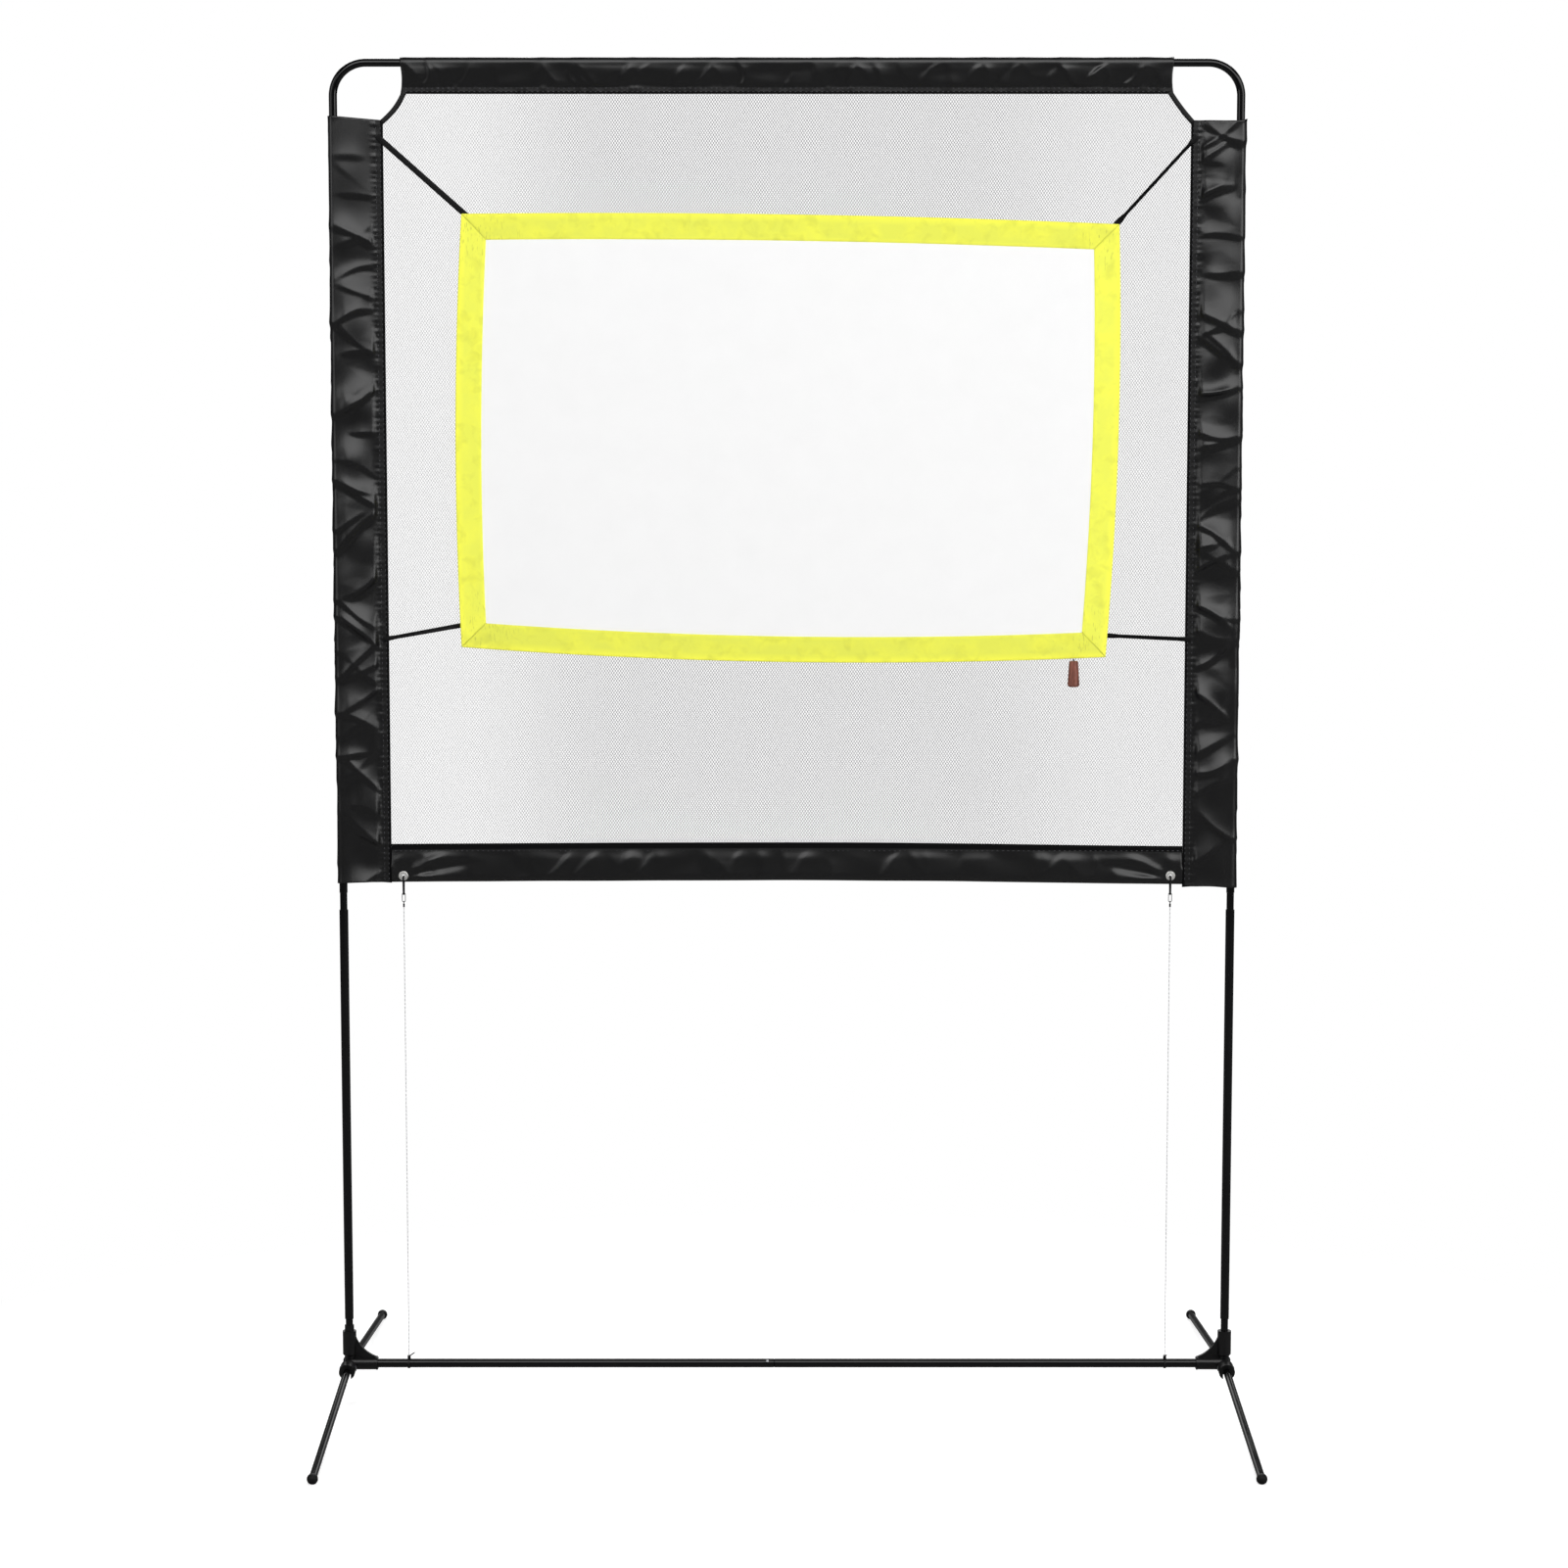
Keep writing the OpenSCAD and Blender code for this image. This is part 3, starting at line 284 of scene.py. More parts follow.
class ClothSettings(bpy.types.PropertyGroup):
    """The black cloth of the sleeves and the bottom band."""

    colour: FloatVectorProperty(name="Cloth Colour", description="Colour of the black cloth",
                                subtype="COLOR", default=hex_colour("0B0B0C"))
    thickness: FloatProperty(name="Cloth Thickness", description="Thickness of the cloth",
                             default=0.45 * MM, unit="LENGTH")
    fold_depth: FloatProperty(name="Fold Depth", description="Height of the main folds",
                              default=6.0 * MM, unit="LENGTH")
    fold_spacing: FloatProperty(name="Fold Spacing", description="Mean distance between folds",
                                default=50 * MM, unit="LENGTH")
    stitch_pitch: FloatProperty(name="Stitch Pitch", description="Distance from one stitch to the next",
                                default=7 * MM, unit="LENGTH")
    seed: IntProperty(name="Fold Seed", description="Another number lays other folds", default=4)


class PanelSettings(bpy.types.PropertyGroup):
    """The target panel."""

    sheet_colour: FloatVectorProperty(name="Sheet", description="Colour of the target sheet",
                                      subtype="COLOR", default=hex_colour("F6F6F6"))
    border_colour: FloatVectorProperty(name="Border", description="Colour of the border's middle",
                                       subtype="COLOR", default=hex_colour("E7EB57"))
    # the edges' colour is a painted highlight, lighter than the middle where the binding folds over
    border_edge_colour: FloatVectorProperty(name="Border Edge Highlight", description="Colour of the border's edges",
                                            subtype="COLOR", default=hex_colour("F8F952"))
    border_width: FloatProperty(name="Border Width", description="Width of the border",
                                default=35 * MM, unit="LENGTH")
    half_width: FloatProperty(name="Half Width", description="Half the panel's width",
                              default=437 * MM, unit="LENGTH")
    height: FloatProperty(name="Height", description="The panel's height at its corners",
                          default=579 * MM, unit="LENGTH")
    top: FloatProperty(name="Top", description="Height of the panel's upper corners above the floor",
                       default=1609 * MM, unit="LENGTH")
    sag: FloatProperty(name="Sag", description="How far the panel's lower edge sags",
                       default=13.5 * MM, unit="LENGTH")
    crown: FloatProperty(name="Crown", description="How far the panel's upper edge rises in its middle",
                         default=6 * MM, unit="LENGTH")
    bow: FloatProperty(name="Bow", description="How far the panel's sides stand out in their middle",
                       default=8 * MM, unit="LENGTH")
    flare: FloatProperty(name="Flare", description="How much wider the panel is at its top",
                         default=4 * MM, unit="LENGTH")
    tilt: FloatProperty(name="Tilt", description="How far the panel hangs down to its right",
                        default=math.radians(0.9), subtype="ANGLE")


class FrameSettings(bpy.types.PropertyGroup):
    """The finishes of the frame."""

    tube_colour: FloatVectorProperty(name="Tubes", description="Colour of the enamelled tubes",
                                     subtype="COLOR", default=hex_colour("050506"))
    hub_colour: FloatVectorProperty(name="Hubs", description="Colour of the moulded hubs", subtype="COLOR",
                                    default=hex_colour("0A0A0B"))
    toggle_colour: FloatVectorProperty(name="Toggle", description="Colour of the wooden toggle",
                                       subtype="COLOR", default=hex_colour("804C3E"))


# ---- materials ----

def enamel(name, colour):
    """Black stoved enamel on steel tube: a hard gloss with a faint orange peel."""
    made, tree, shader, on_piece = new_material(name, colour, 0.11, Specular_IOR_Level=0.42)
    # orange peel, about 4 mm from bump to bump
    peel = add_node(tree, "TexNoise", {"Scale": 250.0, "Detail": 2.0}, on_piece)
    bump = add_node(tree, "Bump", {"Strength": 0.03, "Distance": 0.0002}, {"Height": (peel, "Fac")})
    # handling marks dull the gloss in patches of about 60 mm
    marks = add_node(tree, "TexNoise", {"Scale": 16.0, "Detail": 5.0}, on_piece)
    dull = add_node(tree, "MapRange",
                    {"From Min": 0.3, "From Max": 0.7, "To Min": 0.08, "To Max": 0.14},
                    {"Value": (marks, "Fac")})
    link(tree, shader, {"Normal": (bump, "Normal"), "Roughness": (dull, "Result")})
    return made


def moulded_plastic(name, colour, grain_mm, roughness=0.3, specular=0.45):
    """Injection-moulded nylon or rubber: satin, with a fine spark-eroded grain."""
    made, tree, shader, on_piece = new_material(name, colour, roughness, Specular_IOR_Level=specular)
    grain = add_node(tree, "TexNoise", {"Scale": 1000.0 / grain_mm, "Detail": 3.0}, on_piece)
    bump = add_node(tree, "Bump", {"Strength": 0.18, "Distance": 0.0002}, {"Height": (grain, "Fac")})
    # scuffs from set-up and packing, a few centimetres across
    scuffs = add_node(tree, "TexNoise", {"Scale": 40.0, "Detail": 6.0, "Roughness": 0.7}, on_piece)
    tint = add_node(tree, "MapRange", {"From Min": 0.45, "From Max": 0.75}, {"Value": (scuffs, "Fac")})
    mix = add_node(tree, "Mix", {"data_type": "RGBA", MIX_A: rgba(colour), MIX_B: rgba(colour, 1.5)},
                   {0: (tint, "Result")})
    link(tree, shader, {"Normal": (bump, "Normal"), "Base Color": (mix, MIX_OUT)})
    return made


def bright_metal(name, colour, roughness, grain_mm):
    """Nickel or zinc plated or blackened steel: bright, with fine drawing marks."""
    made, tree, shader, on_piece = new_material(name, colour, roughness, Metallic=1.0)
    drawn = add_node(tree, "TexNoise", {"Scale": 1000.0 / grain_mm, "Detail": 2.0}, on_piece)
    change = add_node(tree, "MapRange",
                      {"To Min": roughness * 0.7, "To Max": roughness * 1.4}, {"Value": (drawn, "Fac")})
    bump = add_node(tree, "Bump", {"Strength": 0.08, "Distance": 0.0001}, {"Height": (drawn, "Fac")})
    link(tree, shader, {"Normal": (bump, "Normal"), "Roughness": (change, "Result")})
    return made


def woven_cloth(name, colour, thread_mm, roughness, specular, depth=0.12, mottle=1.25):
    """Plain-woven polyester or nylon: fine threads both ways, and a soft satin shine on the folds
    of cloth that is calendered."""
    made, tree, shader, on_piece = new_material(name, colour, roughness, Specular_IOR_Level=specular)
    # warp up the cloth and weft across it, each thread drawn at its real or a coarser pitch
    warp, weft = (
        add_node(tree, "TexWave",
                 {"bands_direction": axis, "Scale": 1000.0 / thread_mm / 2 / math.pi,
                  "Distortion": 0.6, "Detail": 1.0}, on_piece)
        for axis in ("X", "Z"))
    woven = add_node(tree, "Math", {"operation": "MULTIPLY"}, {0: (warp, "Fac"), 1: (weft, "Fac")})
    bump = add_node(tree, "Bump", {"Strength": depth, "Distance": 0.0003}, {"Height": (woven, "Value")})
    # uneven dye and rubbed places, 20 to 80 mm across
    dye = add_node(tree, "TexNoise", {"Scale": 22.0, "Detail": 5.0, "Roughness": 0.6}, on_piece)
    share = add_node(tree, "MapRange", {"From Min": 0.35, "From Max": 0.7}, {"Value": (dye, "Fac")})
    mix = add_node(tree, "Mix", {"data_type": "RGBA", MIX_A: rgba(colour), MIX_B: rgba(colour, mottle)},
                   {0: (share, "Result")})
    link(tree, shader, {"Normal": (bump, "Normal"), "Base Color": (mix, MIX_OUT)})
    return made


def taped_cloth(name, colour, *facts):
    """The woven cloth with a duller, blacker tape where the mesh's own map says so."""
    made = woven_cloth(name, colour, *facts)
    tree = made.node_tree
    shader = tree.nodes["Principled BSDF"]
    uv = add_node(tree, "UVMap", {"uv_map": "across_along"})
    split = add_node(tree, "SeparateXYZ", None, {"Vector": (uv, "UV")})
    cloth = shader.inputs["Base Color"].links[0].from_node
    mix = add_node(tree, "Mix", {"data_type": "RGBA", MIX_B: rgba(hex_colour("060607"))},
                   {0: (split, "X"), MIX_A: (cloth, MIX_OUT)})
    link(tree, shader, {"Base Color": (mix, MIX_OUT)})
    for socket, on_tape in (("Roughness", 0.8), ("Specular IOR Level", 0.12)):
        on_cloth = shader.inputs[socket].default_value
        change = add_node(tree, "MapRange", {"To Min": on_cloth, "To Max": on_tape},
                          {"Value": (split, "X")})
        link(tree, shader, {socket: (change, "Result")})
    return made


def border_cloth(name, colour, edge_highlight):
    """Lime polyester binding, with a painted highlight where it is folded over at its edges."""
    made, tree, shader, on_piece = new_material(name, colour, 0.75, Specular_IOR_Level=0.25,
                                                Sheen_Weight=0.15)
    uv = add_node(tree, "UVMap", {"uv_map": "across_along"})
    split = add_node(tree, "SeparateXYZ", None, {"Vector": (uv, "UV")})
    # share of the painted highlight on the folded edges: 1 at the strip's outer edge, 0 in its middle and
    # about 0.7 at its inner edge
    away = add_node(tree, "Math", {"operation": "SUBTRACT", 1: 0.58}, {0: (split, "X")})
    apart = add_node(tree, "Math", {"operation": "ABSOLUTE"}, {0: (away, "Value")})
    edge_highlight_share = add_node(tree, "MapRange", {"From Min": 0.25, "From Max": 0.5},
                         {"Value": (apart, "Value")})
    # brighter clouds, about 30 mm across
    cloudy = add_node(tree, "TexNoise", {"Scale": 30.0, "Detail": 4.0}, on_piece)
    patch = add_node(tree, "MapRange", {"From Min": 0.42, "From Max": 0.66, "To Max": 0.6},
                     {"Value": (cloudy, "Fac")})
    edge_highlight_or_patch = add_node(tree, "Math", {"operation": "MAXIMUM"},
                      {0: (edge_highlight_share, "Result"), 1: (patch, "Result")})
    # the painted edge highlight and the random brighter clouds both mix towards the lighter edge colour
    mix = add_node(tree, "Mix", {"data_type": "RGBA", MIX_A: rgba(colour), MIX_B: rgba(edge_highlight)},
                   {0: (edge_highlight_or_patch, "Value")})
    # the mitred ends meet in a dark line, painted shade in the crease where they fold, with short pulled
    # threads beside it
    line = add_node(tree, "MapRange", {"From Min": 0.0012, "From Max": 0.0003, "To Max": 0.4},
                    {"Value": (split, "Y")})
    corner = add_node(tree, "MapRange", {"From Min": 0.075, "From Max": 0.01, "To Max": 0.6},
                      {"Value": (split, "Y")})
    fine = add_node(tree, "Mapping",
                    {"Rotation": (0.0, 0.6, 0.0), "Scale": (500.0, 500.0, 110.0)}, on_piece)
    pulled = add_node(tree, "TexNoise", {"Scale": 1.0, "Detail": 1.0}, {"Vector": (fine, "Vector")})
    ticks = add_node(tree, "MapRange", {"From Min": 0.6, "From Max": 0.72}, {"Value": (pulled, "Fac")})
    threads = add_node(tree, "Math", {"operation": "MULTIPLY"},
                       {0: (corner, "Result"), 1: (ticks, "Result")})
    mitre_shade = add_node(tree, "Math", {"operation": "MAXIMUM"},
                     {0: (line, "Result"), 1: (threads, "Value")})
    # painted shade of soft creases, 10 to 20 mm apart: patches drawn a little darker
    crinkle = add_node(tree, "TexNoise", {"Scale": 60.0, "Detail": 2.0, "Distortion": 0.4}, on_piece)
    crease_shade = add_node(tree, "MapRange", {"From Min": 0.5, "From Max": 0.74, "To Max": 0.26},
                       {"Value": (crinkle, "Fac")})
    # the painted shades of the mitre and the creases mix in a darker olive
    marks = add_node(tree, "Math", {"operation": "MAXIMUM"},
                     {0: (mitre_shade, "Value"), 1: (crease_shade, "Result")})
    with_painted_light = add_node(tree, "Mix", {"data_type": "RGBA", MIX_B: rgba(hex_colour("B4B946"))},
                      {0: (marks, "Value"), MIX_A: (mix, MIX_OUT)})
    # threads 0.5 mm apart are too fine to show, so they are drawn 1.5 mm apart
    weave = add_node(tree, "TexWave",
                     {"bands_direction": "DIAGONAL", "Scale": 110.0, "Distortion": 1.0}, on_piece)
    bump = add_node(tree, "Bump", {"Strength": 0.1, "Distance": 0.0003}, {"Height": (weave, "Fac")})
    link(tree, shader, {"Normal": (bump, "Normal"), "Base Color": (with_painted_light, MIX_OUT)})
    return made


def twisted_cord(name, colour, pitch_mm, roughness=0.7):
    """Twisted or braided cord, yarn or thread: short slanted ridges all along it, with painted shade in
    the grooves between them and a painted highlight on their crests.
    """
    made, tree, shader, on_piece = new_material(name, colour, roughness, Specular_IOR_Level=0.3)
    slant = add_node(tree, "Mapping", {"Rotation": (0.0, math.radians(50), math.radians(20))}, on_piece)
    ridges = add_node(tree, "TexWave", {"bands_direction": "X", "Scale": 1000.0 / pitch_mm / 6.3},
                      {"Vector": (slant, "Vector")})
    bump = add_node(tree, "Bump", {"Strength": 0.5, "Distance": 0.0003}, {"Height": (ridges, "Fac")})
    # the same ridges set the colour: painted shade in the grooves, painted highlight on the crests
    mix = add_node(tree, "Mix",
                   {"data_type": "RGBA", MIX_A: rgba(colour, 0.7), MIX_B: rgba(colour, 1.3)},
                   {0: (ridges, "Fac")})
    link(tree, shader, {"Normal": (bump, "Normal"), "Base Color": (mix, MIX_OUT)})
    return made


def stained_wood(name, colour):
    """Stained and waxed beech: long fine grain with darker pores."""
    made, tree, shader, on_piece = new_material(name, colour, 0.38, Specular_IOR_Level=0.5)
    # grain about 1.2 mm wide, drawn out along the peg
    drawn_out = add_node(tree, "Mapping", {"Scale": (1.0, 1.0, 0.08)}, on_piece)
    grain = add_node(tree, "TexNoise", {"Scale": 800.0, "Detail": 4.0, "Distortion": 0.4},
                     {"Vector": (drawn_out, "Vector")})
    share = add_node(tree, "MapRange", {"From Min": 0.35, "From Max": 0.7}, {"Value": (grain, "Fac")})
    mix = add_node(tree, "Mix",
                   {"data_type": "RGBA", MIX_A: rgba(colour, 0.5), MIX_B: rgba(colour, 1.5)},
                   {0: (share, "Result")})
    bump = add_node(tree, "Bump", {"Strength": 0.12, "Distance": 0.0002}, {"Height": (grain, "Fac")})
    link(tree, shader, {"Normal": (bump, "Normal"), "Base Color": (mix, MIX_OUT)})
    return made


def shared_material(name, make, *facts):
    """The material of that name, made on first use."""
    return bpy.data.materials.get(name) or make(name, *facts)


def black_cloth():
    # taffeta of 0.3 mm threads, too fine to show, so they are drawn 1.2 mm apart
    colour = bpy.context.scene.net_cloth.colour
    return shared_material("black calendered polyester", taped_cloth, colour, 1.2, 0.33, 0.6, 0.03)


def black_thread():
    return shared_material("black bonded thread", twisted_cord, hex_colour("4E4E52"), 1.0, 0.5)


def black_cord():
    return shared_material("black braided nylon cord", twisted_cord, hex_colour("141416"), 1.6, 0.65)


# ---- cloth building ----

def crumple(rng, rows, cols, length, width, spacing, squeeze=0.5):
    """Heights of pulled cloth on a grid, as lists of rows: flat facets that meet in ridges.

    The ridges join knots along the strip's two long edges, the tube at column 0 and the seam at the
    last column, by way of a few knots between them; squeeze below 1 makes them run straighter across.
    """
    knots = []
    # along each edge: its share across, the steps between its knots in spacings, and their heights
    edges = ((0.0, (0.6, 1.5), (-0.15, 0.35)), (1.0, (0.35, 1.0), (-0.2, 0.3)))
    for share, steps, rise in edges:
        along = -spacing * rng.random()
        while along < length + 2 * spacing:
            knots.append((along, share, rng.uniform(*rise)))
            along += rng.uniform(*steps) * spacing
    # and between them, two rising for each one that sinks
    along = -spacing
    while along < length + 2 * spacing:
        height = rng.uniform(0.5, 1.0) * rng.choice((1.0, 1.0, -0.9))
        knots.append((along, rng.uniform(0.22, 0.8), height))
        along += rng.uniform(0.4, 1.1) * spacing
    flat = [Vector((along, share * width * squeeze)) for along, share, _ in knots]
    places, _, facets, origins, *_ = geometry.delaunay_2d_cdt(flat, [], [], 0, 1e-6)
    grid = [[0.0] * (cols + 1) for _ in range(rows + 1)]
    row_step, col_step = length / rows, width * squeeze / cols
    for facet in facets:
        a, b, c = (places[k] for k in facet)
        heights = [knots[origins[k][0]][2] for k in facet]
        area = (b - a).cross(c - a)
        if abs(area) < 1e-9:
            continue
        first, last = min(a.x, b.x, c.x) / row_step, max(a.x, b.x, c.x) / row_step
        for i in range(max(0, math.ceil(first)), min(rows, math.floor(last)) + 1):
            for k in range(cols + 1):
                p = Vector((i * row_step, k * col_step))
                shares = [(u - p).cross(v - p) / area for u, v in ((b, c), (c, a), (a, b))]
                if min(shares) > -1e-6:
                    grid[i][k] = sum(s * h for s, h in zip(shares, heights))
    return grid


def fanned_folds(rng, length, spacing):
    """Folds that fan out from gathered places along the strip's two long edges, as tuples of place
    along, edge (0 or 1), slant, bow, height, gentle width, steep width and reach across."""
    folds = []
    along = -spacing * rng.random()
    while along < length + spacing:
        edge = rng.choice((0, 1))
        for _ in range(rng.choice((1, 1, 2, 2))):
            folds.append((
                along + rng.uniform(-3, 3), edge, rng.uniform(-1.0, 0.9), rng.uniform(-8, 8),
                rng.uniform(0.5, 1.25), rng.uniform(12, 36), rng.uniform(4.5, 9), rng.uniform(0.8, 1.7)))
        along += rng.uniform(0.45, 1.15) * spacing
    return folds


def creased(rng, rows, cols, length, width, spacing):
    """Heights of loosely gathered cloth on a grid, in shares of the fold depth: each fold rises
    gently to its ridge from one side and drops steeply on the other, with small creases on it."""
    folds = fanned_folds(rng, length, spacing)
    small = crumple(rng, rows, cols, length, width, spacing * 0.5, 0.8)
    start_x = rng.uniform(0, 50)
    grid = []
    for i in range(rows + 1):
        level = i / rows * length
        near = [fold for fold in folds if abs(level - fold[0]) < 45 + width]
        line = []
        for k in range(cols + 1):
            total = 0.0
            for start, edge, slant, bow, height, gentle, steep, reach in near:
                u = k / cols if edge == 0 else 1 - k / cols
                off = level - start - slant * u * width - bow * math.sin(math.pi * u)
                shape = math.exp(-off / gentle) if off > 0 else math.exp(-(off / steep) ** 2)
                # folds start high at the tube and low at the seam, and fade towards their reach
                rise = smooth((0.3 if edge else 0.75) + u * 4)
                # the highest fold wins, so that folds meet instead of crossing
                total += (height * shape * rise * (1 - smooth((u / reach - 0.45) / 0.55))) ** 4
            # a slow swell under the folds, about as long as they are apart
            swell = noise_at(level / 48, k / cols * 1.4, start_x)
            line.append(1.15 * total ** 0.25 + 0.75 * swell + 0.1 * small[i][k])
        grid.append(line)
    return grid


# columns of folds between a sleeve's seam and its tube
FLANK_STEPS = 20
# in millimetres: the tape along the sleeve's edge, the cloth's radius round the tube, half the
# seam's thickness, and half a stitch's length, width and height
EDGE_TAPE = 3.2
TUBE_ROUND = 7.1
SEAM_HALF = 1.15
STITCH = (1.9, 0.42, 0.4)


def sleeve_section(reach, seam):
    """Points round a sleeve's section: across, out, normal, share of the folds, share of the
    puckers, column of the crease grid, face."""
    edge = reach - seam
    lean = math.atan2(TUBE_ROUND - SEAM_HALF, edge)
    front = []
    # the edge tape first, then the stitched part of the seam
    for inset in (0.0, EDGE_TAPE / 2, EDGE_TAPE, EDGE_TAPE + 0.3):
        front.append((reach - inset, SEAM_HALF, (0, 1), 0.0, 0.0, FLANK_STEPS))
    seam_steps, arc_steps = 5, 7
    for k in range(1, seam_steps):
        s = k / seam_steps
        x = reach - EDGE_TAPE - 0.3 - s * (seam - EDGE_TAPE - 0.3)
        front.append((x, SEAM_HALF, (0, 1), 0.0, math.sin(0.5 * math.pi * s), FLANK_STEPS))
    foot = (TUBE_ROUND * math.sin(lean), TUBE_ROUND * math.cos(lean))
    for k in range(FLANK_STEPS):
        s = k / FLANK_STEPS
        at = (edge + s * (foot[0] - edge), SEAM_HALF + s * (foot[1] - SEAM_HALF))
        share = smooth(0.1 + s * 5) * (1 - 0.35 * smooth((s - 0.78) / 0.22))
        front.append((*at, (math.sin(lean), math.cos(lean)), share, max(0.0, 1 - 7 * s), FLANK_STEPS - k))
    for k in range(arc_steps):
        a = math.pi / 2 - lean + k / arc_steps * (math.pi / 2 + lean)
        share = 0.65 - 0.45 * k / arc_steps
        normal = (math.cos(a), math.sin(a))
        front.append((TUBE_ROUND * normal[0], TUBE_ROUND * normal[1], normal, share, 0.0, 0))
    back = [(-TUBE_ROUND, 0.0, (-1, 0), 0.2, 0.0, 0)] + front[:0:-1] + [front[0]]
    section = [(x, -y, (n[0], -n[1]), *rest, 0) for x, y, n, *rest in front]
    return section + [(*point, 1) for point in back]


def sleeve_piece(name, length, reach, seam, place, cut, seed, fullness=1.0, calm=0.0):
    """A cloth sleeve; place turns (across, out, along) into the frame, cut moves its two ends,
    fullness below 1 makes its folds flatter and calm above 0 smooths its far end."""
    cloth = bpy.context.scene.net_cloth
    rng = random.Random(seed)
    depth = fullness * cloth.fold_depth / MM
    pitch = cloth.stitch_pitch / MM
    spacing = cloth.fold_spacing / MM
    row_step = 2.0
    rows = round(length / row_step)
    folds = [creased(rng, rows, FLANK_STEPS, length, reach - seam, spacing) for _ in range(2)]
    section = sleeve_section(reach, seam)
    points, uvs = [], []
    for i in range(rows + 1):
        level = i / rows * length
        # the lower end hangs smoother, and the gathers between stitches come and go along the seam
        loose = depth * (0.8 + 0.2 * smooth((level / length - 0.08) / 0.3))
        loose *= 1 - calm * smooth((level / length - 0.8) / 0.1)
        gather = 0.3 * math.sin(2 * math.pi * level / pitch + 2.5 * math.sin(level / 37))
        gather += 1.1 * noise_at(level / 7, seed, 0.5)
        for x, y, normal, share, pucker, column, face in section:
            push = loose * share * folds[face][i][column] + gather * pucker
            # the two layers never cross, and the cloth stays clear of the tube
            push = max(push, -max(0.3, abs(y) - 1.0) if x > 6 else -0.5)
            along = level + cut(level, x)
            points.append(place(x + normal[0] * push, y + normal[1] * push, along))
            # the edge tape is dull all over, the seam half as much
            dull = 1.0 if x > reach - EDGE_TAPE - 0.1 else 0.45 if x > reach - seam else 0.0
            uvs.append((dull, level * MM))
    piece = piece_from(name, points, grid_faces(rows + 1, len(section), True, False), uvs)
    thicken(piece, cloth.thickness)
    return piece


def thicken(piece, thickness):
    """Turns the faces of an open-ended cloth tube outwards and gives the cloth its thickness."""
    middle = sum((v.co for v in piece.data.vertices), Vector()) / len(piece.data.vertices)
    outward = sum(face.area * face.normal.dot(face.center - middle) for face in piece.data.polygons)
    if outward < 0:
        piece.data.flip_normals()
    apply_modifier(piece, "SOLIDIFY", thickness=thickness, offset=-1.0)


def stitch_rows(name, rows, lift, front):
    """Rows of single stitches: each row is (first place, last place, pitch), in millimetres."""
    select_only()
    bpy.ops.mesh.primitive_ico_sphere_add(subdivisions=1, radius=1)
    pattern = bpy.context.object
    corners = [v.co.copy() for v in pattern.data.vertices]
    sides = [tuple(f.vertices) for f in pattern.data.polygons]
    bpy.data.objects.remove(pattern, do_unlink=True)
    long, wide, high = STITCH
    points, faces = [], []
    for first, last, pitch in rows:
        run = Vector(last) - Vector(first)
        way = run.normalized()
        out = Vector((0, front, 0))
        across = way.cross(out)
        for i in range(int(run.length / pitch)):
            middle = Vector(first) + way * (i + 0.5) * pitch + out * lift
            base = len(points)
            for c in corners:
                points.append(middle + way * c.x * long + across * c.y * wide + out * c.z * high)
            faces += [tuple(base + k for k in side) for side in sides]
    piece = piece_from(name, points, faces)
    points_outward(piece)
    return piece


def sew(name, rows, lift=1.35):
    """The same rows of stitches on both faces, lift millimetres from the cloth's middle."""
    for face, front in (("front", -1), ("back", 1)):
        sewn = stitch_rows(f"{name}_{face}", rows, lift, front)
        finish_piece(sewn, black_thread())


class PanelShape:
    """The panel's outline in millimetres; hung() turns a place on it by the panel's tilt."""

    def __init__(self, panel):
        self.half_w, self.high, self.top = panel.half_width / MM, panel.height / MM, panel.top / MM
        self.sag, self.crown = panel.sag / MM, panel.crown / MM
        self.bow, self.flare = panel.bow / MM, panel.flare / MM
        self.middle = self.top - self.high / 2
        self.cos, self.sin = math.cos(panel.tilt), math.sin(panel.tilt)

    def low_edge(self, x, inset):
        return self.top - self.high + inset - self.sag * (1 - (x / self.half_w) ** 2)

    def high_edge(self, x, inset):
        return self.top - inset + self.crown * (1 - (x / self.half_w) ** 2)

    def side_edge(self, z, inset):
        rise = (z - self.middle) / (self.high / 2)
        return self.half_w - inset + self.flare / 2 * rise + self.bow * (1 - rise ** 2)

    def edge_point(self, edge, s, inset):
        """A place on one edge of the panel, s from 0 to 1 from its left or lower end."""
        low_z = self.low_edge(self.half_w - inset, inset)
        high_z = self.high_edge(self.half_w - inset, inset)
        if edge == "top":
            x = self.side_edge(high_z, inset) * (2 * s - 1)
            return x, self.high_edge(x, inset)
        if edge == "bottom":
            x = self.side_edge(low_z, inset) * (2 * s - 1)
            return x, self.low_edge(x, inset)
        z = low_z + s * (high_z - low_z)
        return (-1 if edge == "left" else 1) * self.side_edge(z, inset), z

    def hung(self, x, z):
        up = z - self.middle
        return x * self.cos + up * self.sin, self.middle + up * self.cos - x * self.sin


# ---- operators ----

